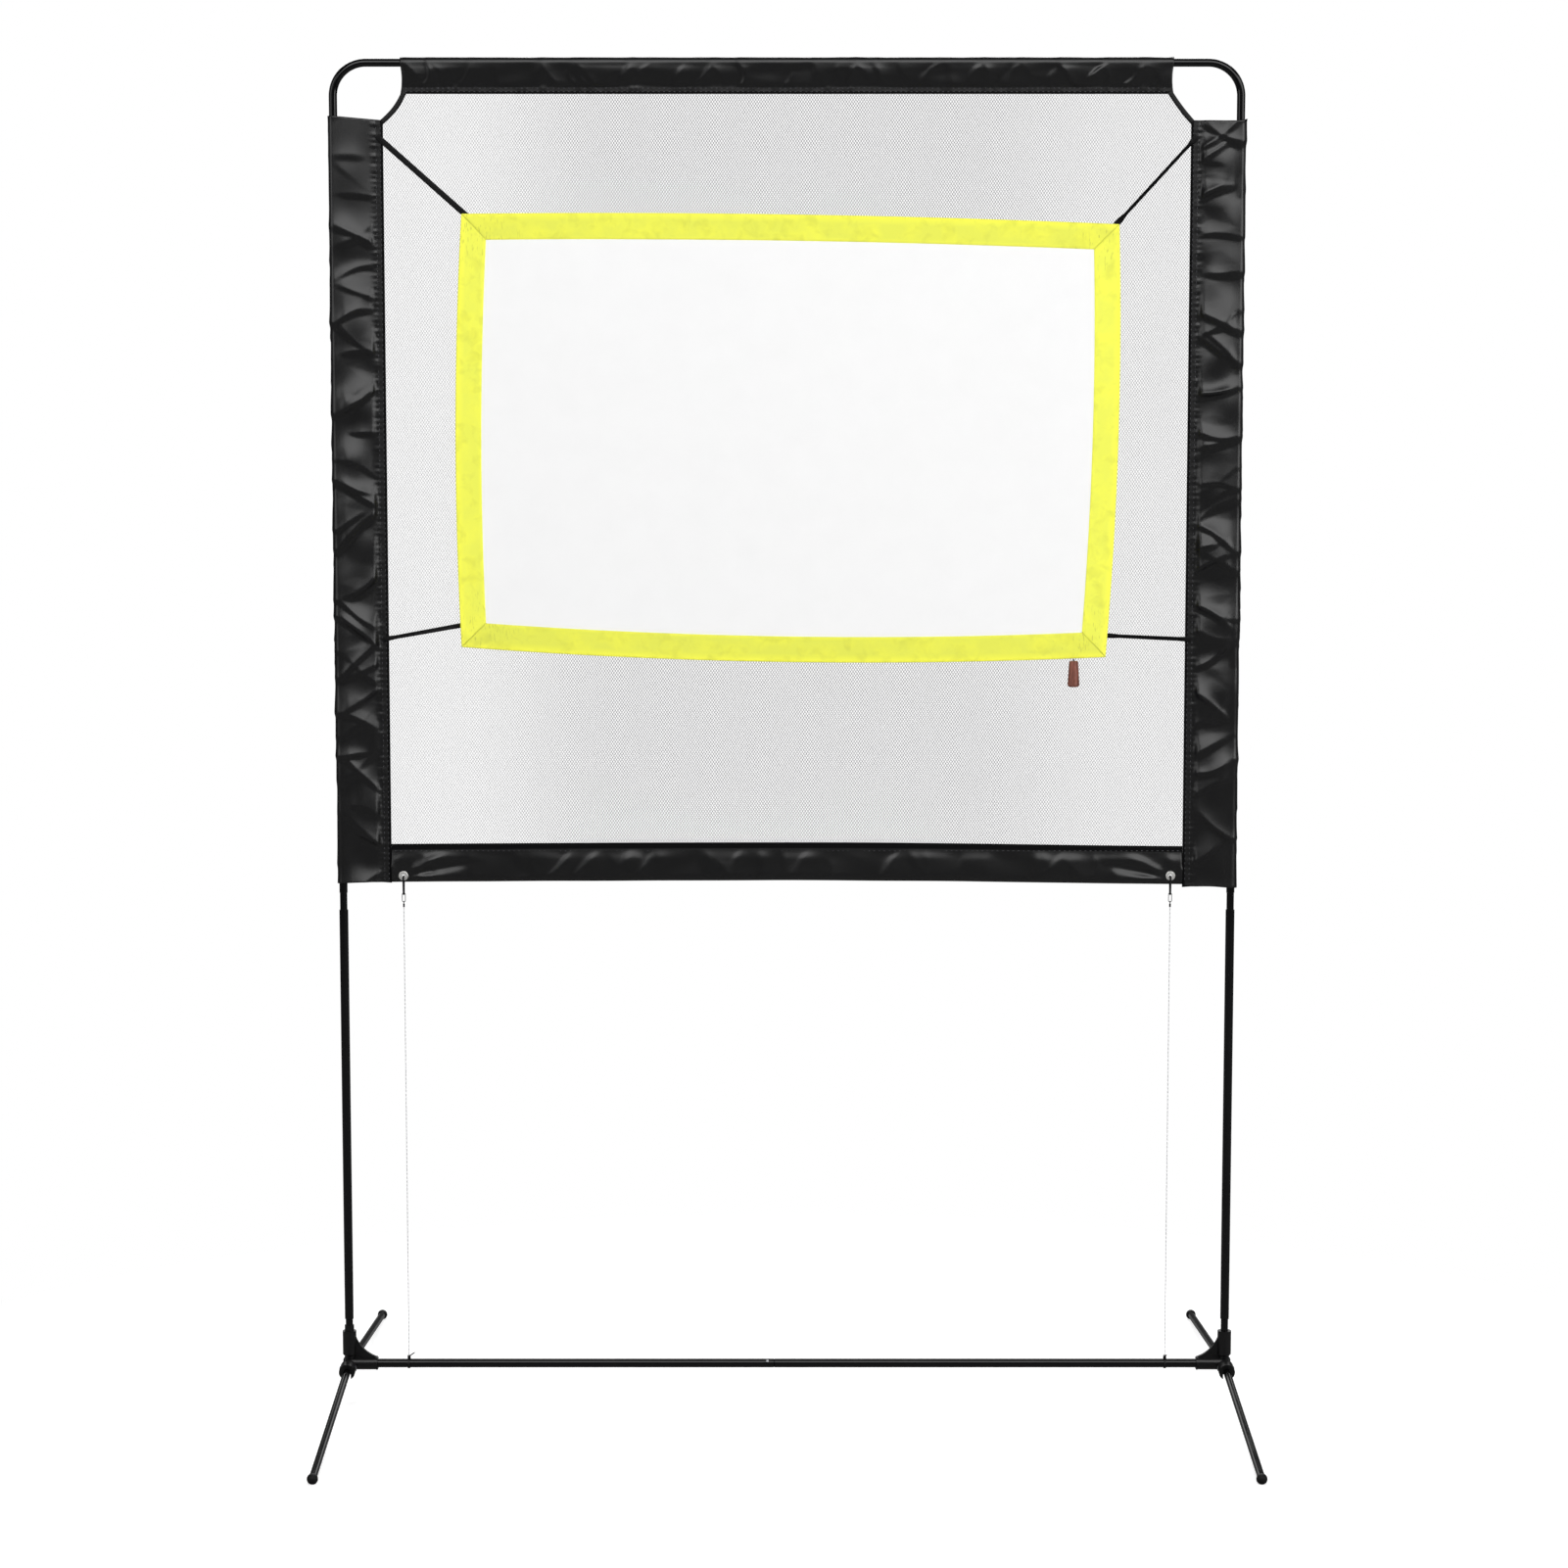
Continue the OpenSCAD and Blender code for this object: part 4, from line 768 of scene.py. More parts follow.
class TARGETNET_OT_stage(bpy.types.Operator):
    """Set up the camera, the floor, the surroundings and the lamps"""

    bl_idname = "target_net.stage"
    bl_label = "Stage"

    def execute(self, context):
        stage = context.scene.net_stage
        select_only()
        bpy.ops.object.camera_add(location=(stage.camera_x, -stage.camera_back, stage.camera_height),
                                  rotation=(math.pi / 2 - stage.camera_tilt, 0, 0))
        camera = context.object
        camera.data.lens = stage.lens
        camera.data.sensor_width = 36
        camera.data.clip_end = 60
        context.scene.camera = camera

        bpy.ops.mesh.primitive_plane_add(size=60, location=(0, 0, 0))
        floor = context.object
        floor.name = "floor"
        paint, tree, shader, on_piece = new_material("pale painted floor", stage.floor_colour, 0.9,
                                                     Specular_IOR_Level=0.0)
        rays = add_node(tree, "LightPath")
        lift = add_node(tree, "Math", {"operation": "MULTIPLY", 1: stage.floor_glow},
                        {0: (rays, "Is Camera Ray")})
        glow = add_node(tree, "Emission", None, {"Strength": (lift, "Value")})
        both = add_node(tree, "AddShader", None, {0: (shader, "BSDF"), 1: (glow, "Emission")})
        # reflections see the floor and the surroundings dimmer, so that black stays black
        dim = add_node(tree, "MapRange", {"To Max": 0.75}, {"Value": (rays, "Is Glossy Ray")})
        tone = add_node(tree, "Mix",
                        {"data_type": "RGBA", MIX_A: rgba(stage.floor_colour), MIX_B: (0, 0, 0, 1)},
                        {0: (dim, "Result")})
        link(tree, shader, {"Base Color": (tone, MIX_OUT)})
        # the camera sees the floor fade into the white surroundings about a metre from the frame
        moved = add_node(tree, "VectorMath", {"operation": "ADD", 1: (0.0, 0.4, 0.0)},
                         {0: on_piece["Vector"]})
        off = add_node(tree, "VectorMath", {"operation": "LENGTH"}, {0: (moved, "Vector")})
        fade = add_node(tree, "MapRange", {"From Min": 0.7, "From Max": 1.5}, {"Value": (off, "Value")})
        seen = add_node(tree, "Math", {"operation": "MULTIPLY"},
                        {0: (rays, "Is Camera Ray"), 1: (fade, "Result")})
        white = add_node(tree, "Emission", {"Strength": 1.0})
        ground = add_node(tree, "MixShader", None,
                          {0: (seen, "Value"), 1: (both, "Shader"), 2: (white, "Emission")})
        link(tree, tree.nodes["Material Output"], {"Surface": (ground, "Shader")})
        floor.data.materials.append(paint)

        world = context.scene.world or bpy.data.worlds.new("surroundings")
        context.scene.world = world
        world.use_nodes = True
        tree = world.node_tree
        back = tree.nodes["Background"]
        back.inputs["Color"].default_value = (1, 1, 1, 1)
        rays = add_node(tree, "LightPath")
        around = add_node(tree, "MapRange",
                          {"To Min": stage.sky_strength, "To Max": 0.35 * stage.sky_strength},
                          {"Value": (rays, "Is Glossy Ray")})
        level = add_node(tree, "MapRange", None,
                         {"Value": (rays, "Is Camera Ray"), "To Min": (around, "Result")})
        link(tree, back, {"Strength": (level, "Result")})

        # soft boxes overhead, at both sides, and low and high behind the frame: place, width and
        # height in metres, and brightness in shares of lamp_strength
        boxes = (((0.3, -3.4, 3.6), 5.0, 2.6, 1.07), ((-4.0, -2.6, 2.5), 2.4, 3.0, 0.6),
                 ((4.0, -2.6, 2.5), 2.4, 3.0, 1.15), ((0.0, 3.2, 1.15), 3.2, 0.8, 0.4),
                 ((0.0, 3.6, 3.9), 4.4, 2.4, 1.9))
        aim = Vector((0, 0, 1.0))
        for place, wide, high, share in boxes:
            turned = (aim - Vector(place)).to_track_quat("-Z", "Y").to_euler()
            bpy.ops.object.light_add(type="AREA", location=place, rotation=turned)
            lamp = context.object.data
            lamp.shape = "RECTANGLE"
            lamp.size, lamp.size_y = wide, high
            lamp.energy = share * stage.lamp_strength * math.pi * wide * high
        return {"FINISHED"}


class TARGETNET_OT_tubes(bpy.types.Operator):
    """Enamel the poles, the corner and top tubes, the crossbar and the legs"""

    bl_idname = "target_net.tubes"
    bl_label = "Tubes and Legs"

    def execute(self, context):
        black = shared_material("gloss black stoved enamel", enamel, context.scene.net_frame.tube_colour)
        names = ["crossbar_left", "crossbar_right"]
        for side, _ in SIDES:
            names += [f"{kind}_pole_{side}" for kind in ("lower", "side", "upper")]
            names += [f"{kind}_tube_{side}" for kind in ("corner", "top")]
            names += [f"leg_{end}_{side}" for end in ENDS]
        for name in names:
            dress(name, black)
        return {"FINISHED"}


class TARGETNET_OT_hubs(bpy.types.Operator):
    """Give the hubs and the stop collar their moulded nylon, and the feet their rubber"""

    bl_idname = "target_net.hubs"
    bl_label = "Hubs and Feet"

    def execute(self, context):
        colour = context.scene.net_frame.hub_colour
        nylon = shared_material("black moulded nylon", moulded_plastic, colour, 0.8)
        rubber = shared_material("black moulded rubber", moulded_plastic, hex_colour("0C0C0D"), 1.2,
                                 0.6, 0.25)
        for name in ("hub_left", "hub_right", "pole_collar"):
            dress(name, nylon)
        for side, _ in SIDES:
            for end in ENDS:
                dress(f"foot_cap_{end}_{side}", rubber)
        return {"FINISHED"}


class TARGETNET_OT_hardware(bpy.types.Operator):
    """Plate the pins, the snap button, the wire snaps, the swivels and the grommets"""

    bl_idname = "target_net.hardware"
    bl_label = "Metal Hardware"

    def execute(self, context):
        zinc = shared_material("zinc plated steel", bright_metal, hex_colour("A9ABAE"), 0.34, 0.4)
        nickel = shared_material("bright nickel plate", bright_metal, hex_colour("F4F3F0"), 0.5, 0.6)
        wire = shared_material("blackened steel wire", bright_metal, hex_colour("2E2F32"), 0.4, 0.5)
        for name in ("crossbar_button", "button_spring", "pivot_pins_left", "pivot_pins_right"):
            dress(name, zinc)
        for side, _ in SIDES:
            dress(f"grommet_{side}", nickel)
            dress(f"wire_snap_{side}", wire)
            dress(f"swivel_{side}", wire)
        return {"FINISHED"}


class TARGETNET_OT_net(bpy.types.Operator):
    """Weave the fine diamond net inside its window"""

    bl_idname = "target_net.net"
    bl_label = "Net"

    def execute(self, context):
        net = context.scene.net_mesh
        low, high = node_box("net")
        # the mesh runs on into the seams, and further into the band; its upper corners are cut off
        tuck, further = 3.5, 3
        cut_w, cut_h = 32.5, 41.5
        # strands shorter than this are left out, the others are drawn in stretches this long
        shortest, stretch = 4, 110
        half_w, bottom, top = high[0] + tuck, low[2] - tuck - further, high[2] + tuck
        outline = [(-half_w, bottom), (half_w, bottom), (half_w, top - cut_h),
                   (half_w - cut_w, top), (-half_w + cut_w, top), (-half_w, top - cut_h)]
        wide, tall = net.hole_width / MM, net.hole_height / MM
        half_strand, half_depth = net.strand_width / MM / 2, net.strand_depth / MM / 2
        # the mesh is pulled a little out of true, in long waves that fade towards its edges
        pull, wave, fade, wave_seed = 2.2, 260, 60, 1
        # without a seed, the clock moves Blender's vector noise
        noise.seed_set(wave_seed)
        points, faces = [], []
        for lean in (-1, 1):
            way = Vector((lean * wide, tall)).normalized()
            across = Vector((way.y, -way.x))
            step = wide * abs(across.x)
            # the strands that lean one way lie in front of the others
            y = lean * 0.15
            count = int(1.7 * half_w / step) + 1
            for i in range(-count, count + 1):
                start = Vector((0, (bottom + top) / 2)) + across * (i + 0.5) * step
                span = self.clip(start, way, outline)
                if not span or span[1] - span[0] < shortest:
                    continue
                first = len(points)
                pieces = max(2, round((span[1] - span[0]) / stretch))
                for k in range(pieces + 1):
                    at = start + way * (span[0] + (span[1] - span[0]) * k / pieces)
                    hold = smooth((half_w - abs(at.x)) / fade) * smooth((at.y - bottom) / fade)
                    hold *= smooth((top - at.y) / fade)
                    drift = noise.noise_vector(Vector((at.x / wave, at.y / wave, 3.3))) * pull * hold
                    at = at + Vector((drift.x, drift.y))
                    # the yarn is pulled thinner towards the two sides
                    thin = 1 - 0.42 * smooth(-at.x / 230 - 1) - 0.26 * smooth(at.x / 230 - 1)
                    side = across * half_strand * thin
                    points += [(at.x - side.x, y, at.y - side.y), (at.x, y - half_depth, at.y),
                               (at.x + side.x, y, at.y + side.y), (at.x, y + half_depth, at.y)]
                for k in range(pieces):
                    a = first + 4 * k
                    faces += [(a + m, a + (m + 1) % 4, a + 4 + (m + 1) % 4, a + 4 + m) for m in range(4)]
                last = len(points) - 4
                faces += [(first + 3, first + 2, first + 1, first), (last, last + 1, last + 2, last + 3)]
        piece = piece_from("diamond_net", points, faces)
        piece.data.shade_flat()
        points_outward(piece)
        yarn = shared_material("dark grey polyester yarn", twisted_cord, net.colour, 2.5, 0.8)
        finish_piece(piece, yarn, stands_for=["net"])
        return {"FINISHED"}

    @staticmethod
    def clip(start, way, outline):
        """The stretch of a line inside a convex outline, as two distances from start."""
        low, high = -1e9, 1e9
        for k, a in enumerate(outline):
            b = outline[(k + 1) % len(outline)]
            inward = Vector((a[1] - b[1], b[0] - a[0]))
            gap = inward.dot(start - Vector(a))
            speed = inward.dot(way)
            if abs(speed) < 1e-9:
                if gap < 0:
                    return None
            elif speed > 0:
                low = max(low, -gap / speed)
            else:
                high = min(high, -gap / speed)
        return (low, high) if high > low else None


class TARGETNET_OT_sleeves(bpy.types.Operator):
    """Sew the creased cloth sleeves round the side poles and the top tube"""

    bl_idname = "target_net.sleeves"
    bl_label = "Sleeves"

    def execute(self, context):
        cloth = context.scene.net_cloth
        pitch = cloth.stitch_pitch / MM
        pole_x = node_middle("lower_pole_right")[0]
        low, high = node_box("sleeve_right")
        reach, seam = pole_x - low[0], 10.5
        length = high[2] - low[2]

        # the ends are cut a little aslant; the cut dies out 70 mm from the top and 45 mm from the foot
        def side_cut(level, x, sign):
            near_top = smooth((level - length + 70) / 70)
            near_foot = smooth((45 - level) / 45)
            # the right sleeve sags a little more at the tube
            lip = 3.5 if sign < 0 else -3.0 + 2.5 * smooth(-x / 6)
            # the left sleeve ends a little higher than the right one
            foot = 1.5 * math.sin(x / 20) + (2.2 if sign < 0 else -3.8)
            return near_top * (lip - (lip + 2) * max(0.0, x) / reach) + near_foot * foot

        for side, sign in SIDES:
            piece = sleeve_piece(
                f"cloth_sleeve_{side}", length, reach, seam,
                lambda x, y, w, s=sign: (s * (pole_x - x), y, low[2] + w),
                lambda level, x, s=sign: side_cut(level, x, s),
                cloth.seed + sign, calm=0.75 if sign < 0 else 0.0)
            finish_piece(piece, black_cloth(), stands_for=[f"sleeve_{side}"])
            # one row of stitches just inside the edge tape, one along the seam's other side
            rows = []
            for inset in (3.4, 9.2):
                x = sign * (pole_x - reach + inset)
                rows.append(((x, 0, low[2] + 4), (x, 0, high[2] - 8), pitch))
            sew(f"sleeve_stitches_{side}", rows)

        axis_z = node_middle("top_tube_right")[2]
        low, high = node_box("sleeve_top")
        reach, seam = axis_z - low[2], 8.5
        length = high[0] - low[0]

        # the ends bow outwards in their middle, which dies out 40 mm along the sleeve
        def top_cut(level, x):
            bowed = 2.2 * math.sin(math.pi * min(1.0, max(0.0, x / reach)))
            return bowed * (smooth((40 - level) / 40) - smooth((level - length + 40) / 40))

        piece = sleeve_piece("cloth_sleeve_top", length, reach, seam,
                             lambda x, y, w: (low[0] + w, y, axis_z - x), top_cut, cloth.seed + 5, 0.45)
        finish_piece(piece, black_cloth(), stands_for=["sleeve_top"])
        rows = []
        for inset in (2.8, 7.4):
            z = low[2] + inset
            rows.append(((low[0] + 4, 0, z), (high[0] - 4, 0, z), pitch))
        sew("top_sleeve_stitches", rows)
        return {"FINISHED"}


class TARGETNET_OT_band(bpy.types.Operator):
    """Fold the bottom band and bind the net's upper corners"""

    bl_idname = "target_net.band"
    bl_label = "Bottom Band and Corners"

    def execute(self, context):
        cloth = context.scene.net_cloth
        pitch = cloth.stitch_pitch / MM
        low, high = node_box("bottom_band")
        rings = [node_middle(f"grommet_{side}") for side, _ in SIDES]
        height, length = high[2] - low[2], high[0] - low[0]
        rng = random.Random(cloth.seed + 11)
        row_step, up_steps, fold_spacing, tape_width = 3.2, 22, 62, 7.5
        rows = round(length / row_step)
        folds = [creased(rng, rows, up_steps, length, height, fold_spacing) for _ in range(2)]
        section = [(k, -1) for k in range(up_steps + 1)] + [(k, 1) for k in range(up_steps, -1, -1)]
        # heights up the band are shares of it from here on, and the tape starts at this one
        tape = 1 - tape_width / height
        points, uvs = [], []
        depth = cloth.fold_depth / MM * 0.6
        for i in range(rows + 1):
            along = i / rows * length
            x = low[0] + along
            for k, out in section:
                s = k / up_steps
                z = low[2] + s * height
                # folds fade out at the lower edge, below the tape and round the grommets
                free = smooth(s * 5) * smooth((1 - s) * height / 16 - 0.4)
                calm = min(smooth((math.hypot(x - p[0], z - p[2]) - 7) / 14) for p in rings)
                pull = sum(self.pulled_fold(abs(x - p[0]), z - p[2]) for p in rings)
                wave = noise_at(along / 34, 0.3 * s, 8.0 + out)
                push = depth * free * calm * (0.55 * folds[0 if out < 0 else 1][i][k] + 0.5 * wave + pull)
                # the doubled hem makes the lower part of the band stand out a little
                belly = 2.6 * smooth((0.95 - s) * 1.1) * calm
                half = 1.0 + (0.5 + belly) * smooth(s * 9) - 0.25 * smooth((s - tape) * 20)
                # the cloth puckers just below the tape, once in each stitch
                pucker = 0.4 * math.exp(-((s - tape + 0.03) / 0.07) ** 2)
                pucker *= math.sin(2 * math.pi * along / pitch)
                push = max(push, -0.7 - belly)
                # it hangs up in its middle and down at its right end
                t = along / length
                hang = 0.5 * noise_at(along / 120, 0.0, 5.0) * (1 - s)
                hang += 2.2 * math.sin(math.pi * t) - 3.0 * smooth((t - 0.55) / 0.45)
                points.append((x, out * (half + push + pucker), z + hang))
                uvs.append((1.0 if s > tape else 0.0, along * MM))
        faces = grid_faces(rows + 1, len(section), True, False)
        piece = piece_from("cloth_bottom_band", points, faces, uvs)
        self.open_holes(piece, rings, 3.4)
        thicken(piece, cloth.thickness)
        finish_piece(piece, black_cloth(), stands_for=["bottom_band"])
        sewn_z = low[2] + height * tape - 1.6
        sew("band_stitches", [((low[0] + 2, 0, sewn_z), (high[0] - 2, 0, sewn_z), pitch)], 1.5)

        for side, sign, bow in (("left", -1, 3.4), ("right", 1, 1.2)):
            self.bind_corner(side, sign, bow)
        return {"FINISHED"}

    @staticmethod
    def open_holes(piece, middles, radius):
        """Opens round holes from front to back; their rough edges lie under the grommets' flanges."""
        shape = bmesh.new()
        shape.from_mesh(piece.data)
        gone = []
        for face in shape.faces:
            at = face.calc_center_median()
            if any(math.hypot(at.x / MM - p[0], at.z / MM - p[2]) < radius for p in middles):
                gone.append(face)
        bmesh.ops.delete(shape, geom=gone, context="FACES")
        shape.to_mesh(piece.data)
        shape.free()

    @staticmethod
    def pulled_fold(across, up):
        """Height of the folds that a grommet pulls, at this place beside and above its middle."""
        total = 0.0
        # slope, height, width and reach of each fold
        for slope, height, width, reach in ((0.55, 0.9, 5.0, 85.0), (0.2, -0.8, 4.5, 105.0),
                                            (-0.08, 0.7, 5.0, 70.0)):
            way = math.atan(slope)
            along = across * math.cos(way) + up * math.sin(way)
            apart = up * math.cos(way) - across * math.sin(way)
            spread = width * (1 + 0.6 * max(0.0, along) / reach)
            ridge = height * math.exp(-(apart / spread) ** 2)
            total += ridge * smooth(along / 12) * smooth((reach - along) / 40)
        return total

    @staticmethod
    def bind_corner(side, sign, bow):
        """A rounded tape over the net's cut corner."""
        # its middle line, from the top sleeve to the side sleeve
        start, finish = Vector((508.5, 1777.0)), Vector((540.5, 1735.6))
        run = finish - start
        off = Vector((run.y, -run.x)).normalized()
        half_wide, half_thick = 3.5, 1.35
        rows, around = 16, 14
        points, uvs = [], []
        for i in range(rows + 1):
            s = i / rows
            middle = start + run * s + off * bow * math.sin(math.pi * s)
            for k in range(around):
                a = 2 * math.pi * k / around
                # a rounded oblong section, faintly rippled along
                wide = half_wide * math.copysign(abs(math.cos(a)) ** 0.55, math.cos(a))
                thick = half_thick * math.copysign(abs(math.sin(a)) ** 0.7, math.sin(a))
                ripple = 0.12 * math.sin(s * 40 + 3 * math.cos(a))
                at = middle + off * wide
                points.append((sign * at.x, thick + ripple, at.y))
                uvs.append((k / around, s * 0.05))
        faces = grid_faces(rows + 1, around, True, False)
        faces += [tuple(range(around)), tuple(range(rows * around, (rows + 1) * around))]
        piece = piece_from(f"cloth_corner_tape_{side}", points, faces, uvs)
        points_outward(piece)
        tape = shared_material("black folded tape", woven_cloth, hex_colour("0B0B0C"), 1.2, 0.5, 0.3, 0.15)
        finish_piece(piece, tape, stands_for=[f"corner_binding_{side}"])


class TARGETNET_OT_panel(bpy.types.Operator):
    """Stretch the target sheet and sew its lime border round it"""

    bl_idname = "target_net.panel"
    bl_label = "Target Panel"

    def execute(self, context):
        panel = context.scene.net_panel
        middle_y = node_middle("border_top")[1]
        width = panel.border_width / MM
        shape = PanelShape(panel)

        # the sheet is sewn into the border, 3 mm inside its outline
        cols, rows, inset = 96, 64, 3
        points = []
        for i in range(rows + 1):
            s = i / rows
            half = shape.edge_point("right", s, inset)[0]
            for k in range(cols + 1):
                t = k / cols
                x = half * (2 * t - 1)
                z_low, z_high = shape.low_edge(x, inset), shape.high_edge(x, inset)
                z = z_low + s * (z_high - z_low)
                hold = smooth(min(s, 1 - s) * 9) * smooth(min(t, 1 - t) * 12)
                wave = noise_at(x / 210, z / 330, 2.0) * 1.1 * hold
                # one short soft crease left of the middle
                crease = 0.45 * math.exp(-((x + 66 + 0.35 * (z - 1330)) / 5) ** 2 - ((z - 1380) / 60) ** 2)
                x, z = shape.hung(x, z)
                points.append((x, middle_y + wave + crease - 0.3, z))
        piece = piece_from("cloth_target_sheet", points, grid_faces(rows + 1, cols + 1, False, False))
        if piece.data.polygons[0].normal.y > 0:
            piece.data.flip_normals()
        apply_modifier(piece, "SOLIDIFY", thickness=0.0006, offset=0.0)
        sheet = shared_material("white plain-woven nylon", woven_cloth, panel.sheet_colour, 1.6, 0.7,
                                0.3, 0.04, 0.985)
        finish_piece(piece, sheet, stands_for=["target_sheet"])

        lime = border_cloth("lime polyester binding", panel.border_colour, panel.border_edge_colour)
        # the upright strips get a lighter copy of the binding: painted light, drawn as if the side lamps
        # lit them more
        lit_upright = border_cloth("lime polyester binding upright", rgba(panel.border_colour, 1.09)[:3],
                               rgba(panel.border_edge_colour, 1.06)[:3])
        for number, edge in enumerate(("top", "bottom", "left", "right")):
            level = edge in ("top", "bottom")
            long = 2 * shape.half_w if level else shape.high
            piece = self.strip(shape, edge, number, long, width, middle_y)
            finish_piece(piece, lime if level else lit_upright, stands_for=[f"border_{edge}"])
        return {"FINISHED"}

    @staticmethod
    def strip(shape, edge, number, long, width, middle_y):
        """One folded side of the border, mitred at both ends."""
        # the folded edges are tight, so the places across are closer together there
        flat_part = [0.12 + 0.76 * k / 8 for k in range(9)]
        across = [0.0, 0.008, 0.025, 0.06, *flat_part, 0.94, 0.975, 0.992, 1.0]
        row_step, half_thick = 4, 1.9
        rows, steps = round(long / row_step), len(across) - 1
        section = [(t, -1) for t in across] + [(t, 1) for t in reversed(across)]
        points, uvs = [], []
        for i in range(rows + 1):
            s = i / rows
            along = s * long
            near_end = math.exp(-min(along, long - along) / 42)
            outer, inner = shape.edge_point(edge, s, 0.0), shape.edge_point(edge, s, width)
            for t, out in section:
                x, z = shape.hung(*(outer[n] + t * (inner[n] - outer[n]) for n in (0, 1)))
                crown = half_thick * (1 - abs(2 * t - 1) ** 24) ** 0.5
                # soft unevenness and sharper wrinkles, both deeper near the mitred ends
                rough = noise_at(along / 26, t * 2.2, number * 7.0 + out)
                lines = 0.3 - abs(noise_at(along / 15 + 2 * t, t * 3, number * 5.0 + 3 * out))
                push = (0.4 + 0.4 * near_end) * rough + (0.35 + 0.3 * near_end) * max(-0.1, lines)
                edge_fade = smooth(min(t, 1 - t) * 7)
                points.append((x, middle_y + out * (crown + push * edge_fade), z))
                uvs.append((t, min(along, long - along) * MM))
        columns = len(section)
        faces = grid_faces(rows + 1, columns, True, False)
        for end in (0, rows * columns):
            last = end + columns - 1
            faces += [(end + k, end + k + 1, last - k - 1, last - k) for k in range(steps)]
        piece = piece_from(f"cloth_border_{edge}", points, faces, uvs)
        points_outward(piece)
        apply_modifier(piece, "SOLIDIFY", thickness=0.0005, offset=-1.0)
        return piece


class TARGETNET_OT_straps(bpy.types.Operator):
    """Cut the four webbing straps that hold the panel to the sleeves"""

    bl_idname = "target_net.straps"
    bl_label = "Straps"

    def execute(self, context):
        webbing = shared_material("black nylon webbing", woven_cloth, hex_colour("060607"), 1.4, 0.62,
                                  0.2, 0.5)
        shape = PanelShape(context.scene.net_panel)
        corner = shape.edge_point("right", 1.0, 0.0)
        sewn_z = shape.top - shape.high + 29
        # the webbing is a little thinner than the solid strap, and its edges are rounded
        thinner, rounding = 0.8, 0.45
        # each strap starts behind the border and ends in the side sleeve; it is bent in equal parts
        tuck, finish_x, parts = 18.0, 546.0, 40
        # its place on the panel, height at the sleeve, width, and twist at the panel and the sleeve
        ends = {
            "top": ((corner[0] - 4, corner[1]), 1718.0, 7.8, {"left": (4, 4), "right": (58, 58)}),
            "bottom": ((shape.side_edge(sewn_z, 0.0), sewn_z), 1047.0, 6.5,
                       {"left": (20, 50), "right": (45, 32)}),
        }
        for kind, (sewn, finish_z, width, twists) in ends.items():
            for side, sign in SIDES:
                low, high = node_box(f"strap_{kind}_{side}")
                x, z = shape.hung(sign * sewn[0], sewn[1])
                finish, sewn_at = Vector((sign * finish_x, 0, finish_z)), Vector((x, 0, z))
                way = (finish - sewn_at).normalized()
                start = sewn_at - tuck * way
                length = (finish - start).length
                select_only()
                bpy.ops.mesh.primitive_cube_add(size=1)
                piece = context.object
                piece.name = f"webbing_strap_{kind}_{side}"
                piece.scale = (length * MM, (high[1] - low[1]) * MM * thinner, width * MM)
                bpy.ops.object.transform_apply(location=False, rotation=False, scale=True)
                bpy.ops.object.mode_set(mode="EDIT")
                bpy.ops.mesh.select_all(action="SELECT")
                bpy.ops.mesh.bevel(offset=rounding * MM, segments=2, affect="EDGES")
                for cut in range(1, parts):
                    cut_x = (cut / parts - 0.5) * length * MM
                    bpy.ops.mesh.select_all(action="SELECT")
                    bpy.ops.mesh.bisect(plane_co=(cut_x, 0, 0), plane_no=(1, 0, 0))
                bpy.ops.object.mode_set(mode="OBJECT")
                list_by_place(piece)
                across = Vector((-way.z, 0, way.x))
                at_panel, at_sleeve = twists[side]
                for vertex in piece.data.vertices:
                    along = vertex.co.x / MM + length / 2
                    free = (along - tuck) / (length - tuck)
                    twist = math.radians(at_panel + (at_sleeve - at_panel) * free)
                    # the strap lies flat where it is sewn to the panel and to the sleeve
                    twist *= smooth((along - tuck - 3) / 14) * smooth((length - along - 6) / 12)
                    thick, wide = vertex.co.y / MM, vertex.co.z / MM
                    y = (low[1] + high[1]) / 2 - 0.6 * width / 2 * math.sin(twist)
                    y += thick * math.cos(twist) - wide * math.sin(twist)
                    aside = wide * math.cos(twist) + thick * math.sin(twist)
                    place = start + way * along + across * aside
                    vertex.co = Vector((place.x, y, place.z)) * MM
                points_outward(piece)
                select_only(piece)
                bpy.ops.object.shade_smooth_by_angle(angle=math.radians(40))
                finish_piece(piece, webbing, stands_for=[f"strap_{kind}_{side}"])
        return {"FINISHED"}


class TARGETNET_OT_ties(bpy.types.Operator):
    """Thread the cord loops, the pale tie lines and the cable ties"""

    bl_idname = "target_net.ties"
    bl_label = "Loops, Lines and Ties"

    def execute(self, context):
        pale = shared_material("clear nylon line", twisted_cord, hex_colour("D8D8DA"), 2.0, 0.35)
        nylon = shared_material("black cable-tie nylon", moulded_plastic, hex_colour("0B0B0C"), 0.9,
                                0.4, 0.4)
        for side, _ in SIDES:
            low, high = node_box(f"band_loop_{side}")
            x = (low[0] + high[0]) / 2
            top, bottom, out = high[2] - 1.0, low[2] + 1.0, high[1] - 1.0
            # half the loop, from the grommet's hole down to the wire snap: places out and up
            route = [(0, top), (out * 0.45, top), (out * 0.78, top - 0.3), (out * 0.97, top - 1.6),
                     (out, top - 4.2), (out * 0.97, top - 9.5), (out * 0.8, top - 15), (2.4, bottom + 4.4),
                     (2.3, bottom + 1.6), (1.1, bottom), (0, bottom - 0.1)]
            loop = [(x, y, z) for y, z in route + [(-y, z) for y, z in route[-2:0:-1]]]
            piece = cord_piece(f"cord_loop_{side}", loop, 1.3, closed=True, sides=4)
            finish_piece(piece, black_cord(), stands_for=[f"band_loop_{side}"])
            dress(f"tie_line_{side}", pale)
            dress(f"cable_tie_{side}", nylon)
        return {"FINISHED"}


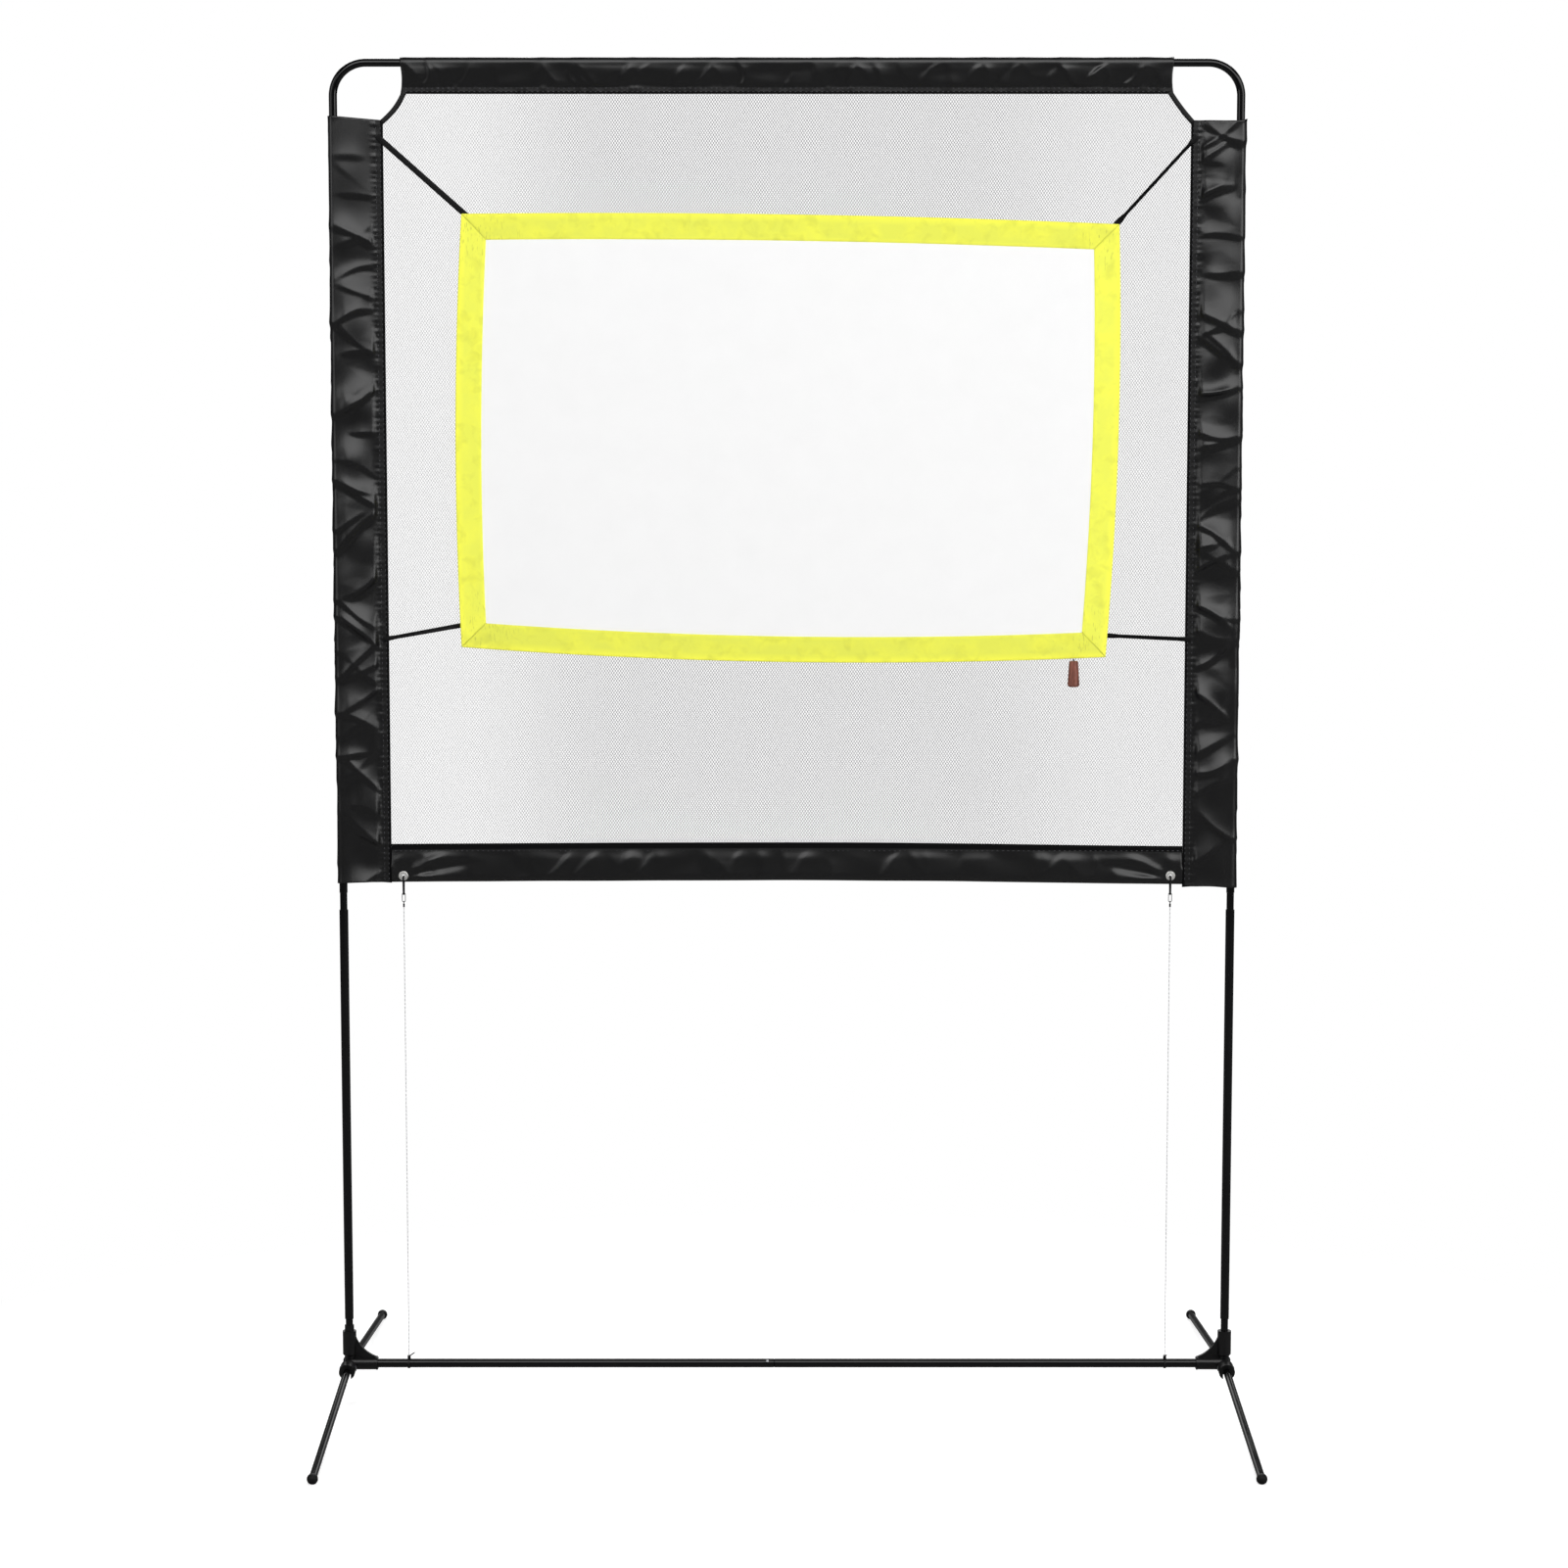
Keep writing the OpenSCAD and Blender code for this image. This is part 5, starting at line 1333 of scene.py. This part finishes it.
class TARGETNET_OT_toggle(bpy.types.Operator):
    """Hang the wooden toggle on its knotted cord"""

    bl_idname = "target_net.toggle"
    bl_label = "Toggle"

    def execute(self, context):
        colour = context.scene.net_frame.toggle_colour
        dress("wooden_toggle", shared_material("stained beech", stained_wood, colour))
        low, high = node_box("toggle_cord")
        x = (low[0] + high[0]) / 2
        peg_y, top = node_middle("wooden_toggle")[1], node_box("wooden_toggle")[1][2]
        knot_y, knot_z = high[1] - 1.3, high[2] - 1.3
        step, fall = peg_y - knot_y, knot_z - top
        # from the knot over to the peg and down its bore
        route = [(knot_y, knot_z), (knot_y + 0.35 * step, knot_z - 0.35 * fall),
                 (knot_y + 0.8 * step, knot_z - 0.85 * fall),
                 *[(peg_y, top - depth) for depth in (1, 3, 12)]]
        hanging = cord_piece("toggle_cord_run", [(x, y, z) for y, z in route], 1.0)
        # an overhand knot is a trefoil drawn tight
        knot_points, turns = [], 36
        for k in range(turns):
            a = 2 * math.pi * k / turns
            ring = 0.62 + 0.26 * math.cos(3 * a)
            knot_points.append((x + ring * math.cos(2 * a), knot_y + ring * math.sin(2 * a),
                                knot_z + 0.4 * math.sin(3 * a)))
        knot = cord_piece("toggle_knot", knot_points, 0.42, closed=True, steps=3)
        finish_piece(hanging, black_cord(), body="toggle", stands_for=["toggle_cord"])
        finish_piece(knot, black_cord(), body="toggle")
        return {"FINISHED"}


class TARGETNET_PT_sidebar(bpy.types.Panel):
    """The target net's steps, in the 3D view's sidebar."""

    bl_idname = "TARGETNET_PT_sidebar"
    bl_label = "Target Net"
    bl_space_type = "VIEW_3D"
    bl_region_type = "UI"
    bl_category = "Target Net"

    def draw(self, context):
        for step in STEPS:
            self.layout.operator(step.bl_idname)
        for name in SETTINGS:
            group = getattr(context.scene, name)
            box = self.layout.box()
            box.label(text=type(group).__doc__)
            for key in type(group).__annotations__:
                box.prop(group, key)


STEPS = (
    TARGETNET_OT_stage, TARGETNET_OT_tubes, TARGETNET_OT_hubs, TARGETNET_OT_hardware, TARGETNET_OT_net,
    TARGETNET_OT_sleeves, TARGETNET_OT_band, TARGETNET_OT_panel, TARGETNET_OT_straps, TARGETNET_OT_ties,
    TARGETNET_OT_toggle,
)
SETTINGS = {
    "net_stage": StageSettings, "net_mesh": NetSettings, "net_cloth": ClothSettings,
    "net_panel": PanelSettings, "net_frame": FrameSettings,
}


def register():
    for group in SETTINGS.values():
        bpy.utils.register_class(group)
    for name, group in SETTINGS.items():
        setattr(bpy.types.Scene, name, PointerProperty(type=group))
    for step in (*STEPS, TARGETNET_PT_sidebar):
        bpy.utils.register_class(step)


def unregister():
    for step in reversed((*STEPS, TARGETNET_PT_sidebar)):
        bpy.utils.unregister_class(step)
    for name in SETTINGS:
        delattr(bpy.types.Scene, name)
    for group in SETTINGS.values():
        bpy.utils.unregister_class(group)


def main():
    register()
    bpy.context.scene.view_settings.view_transform = "Standard"
    for step in STEPS:
        area, name = step.bl_idname.split(".")
        getattr(getattr(bpy.ops, area), name)()


if __name__ == "__main__":
    main()
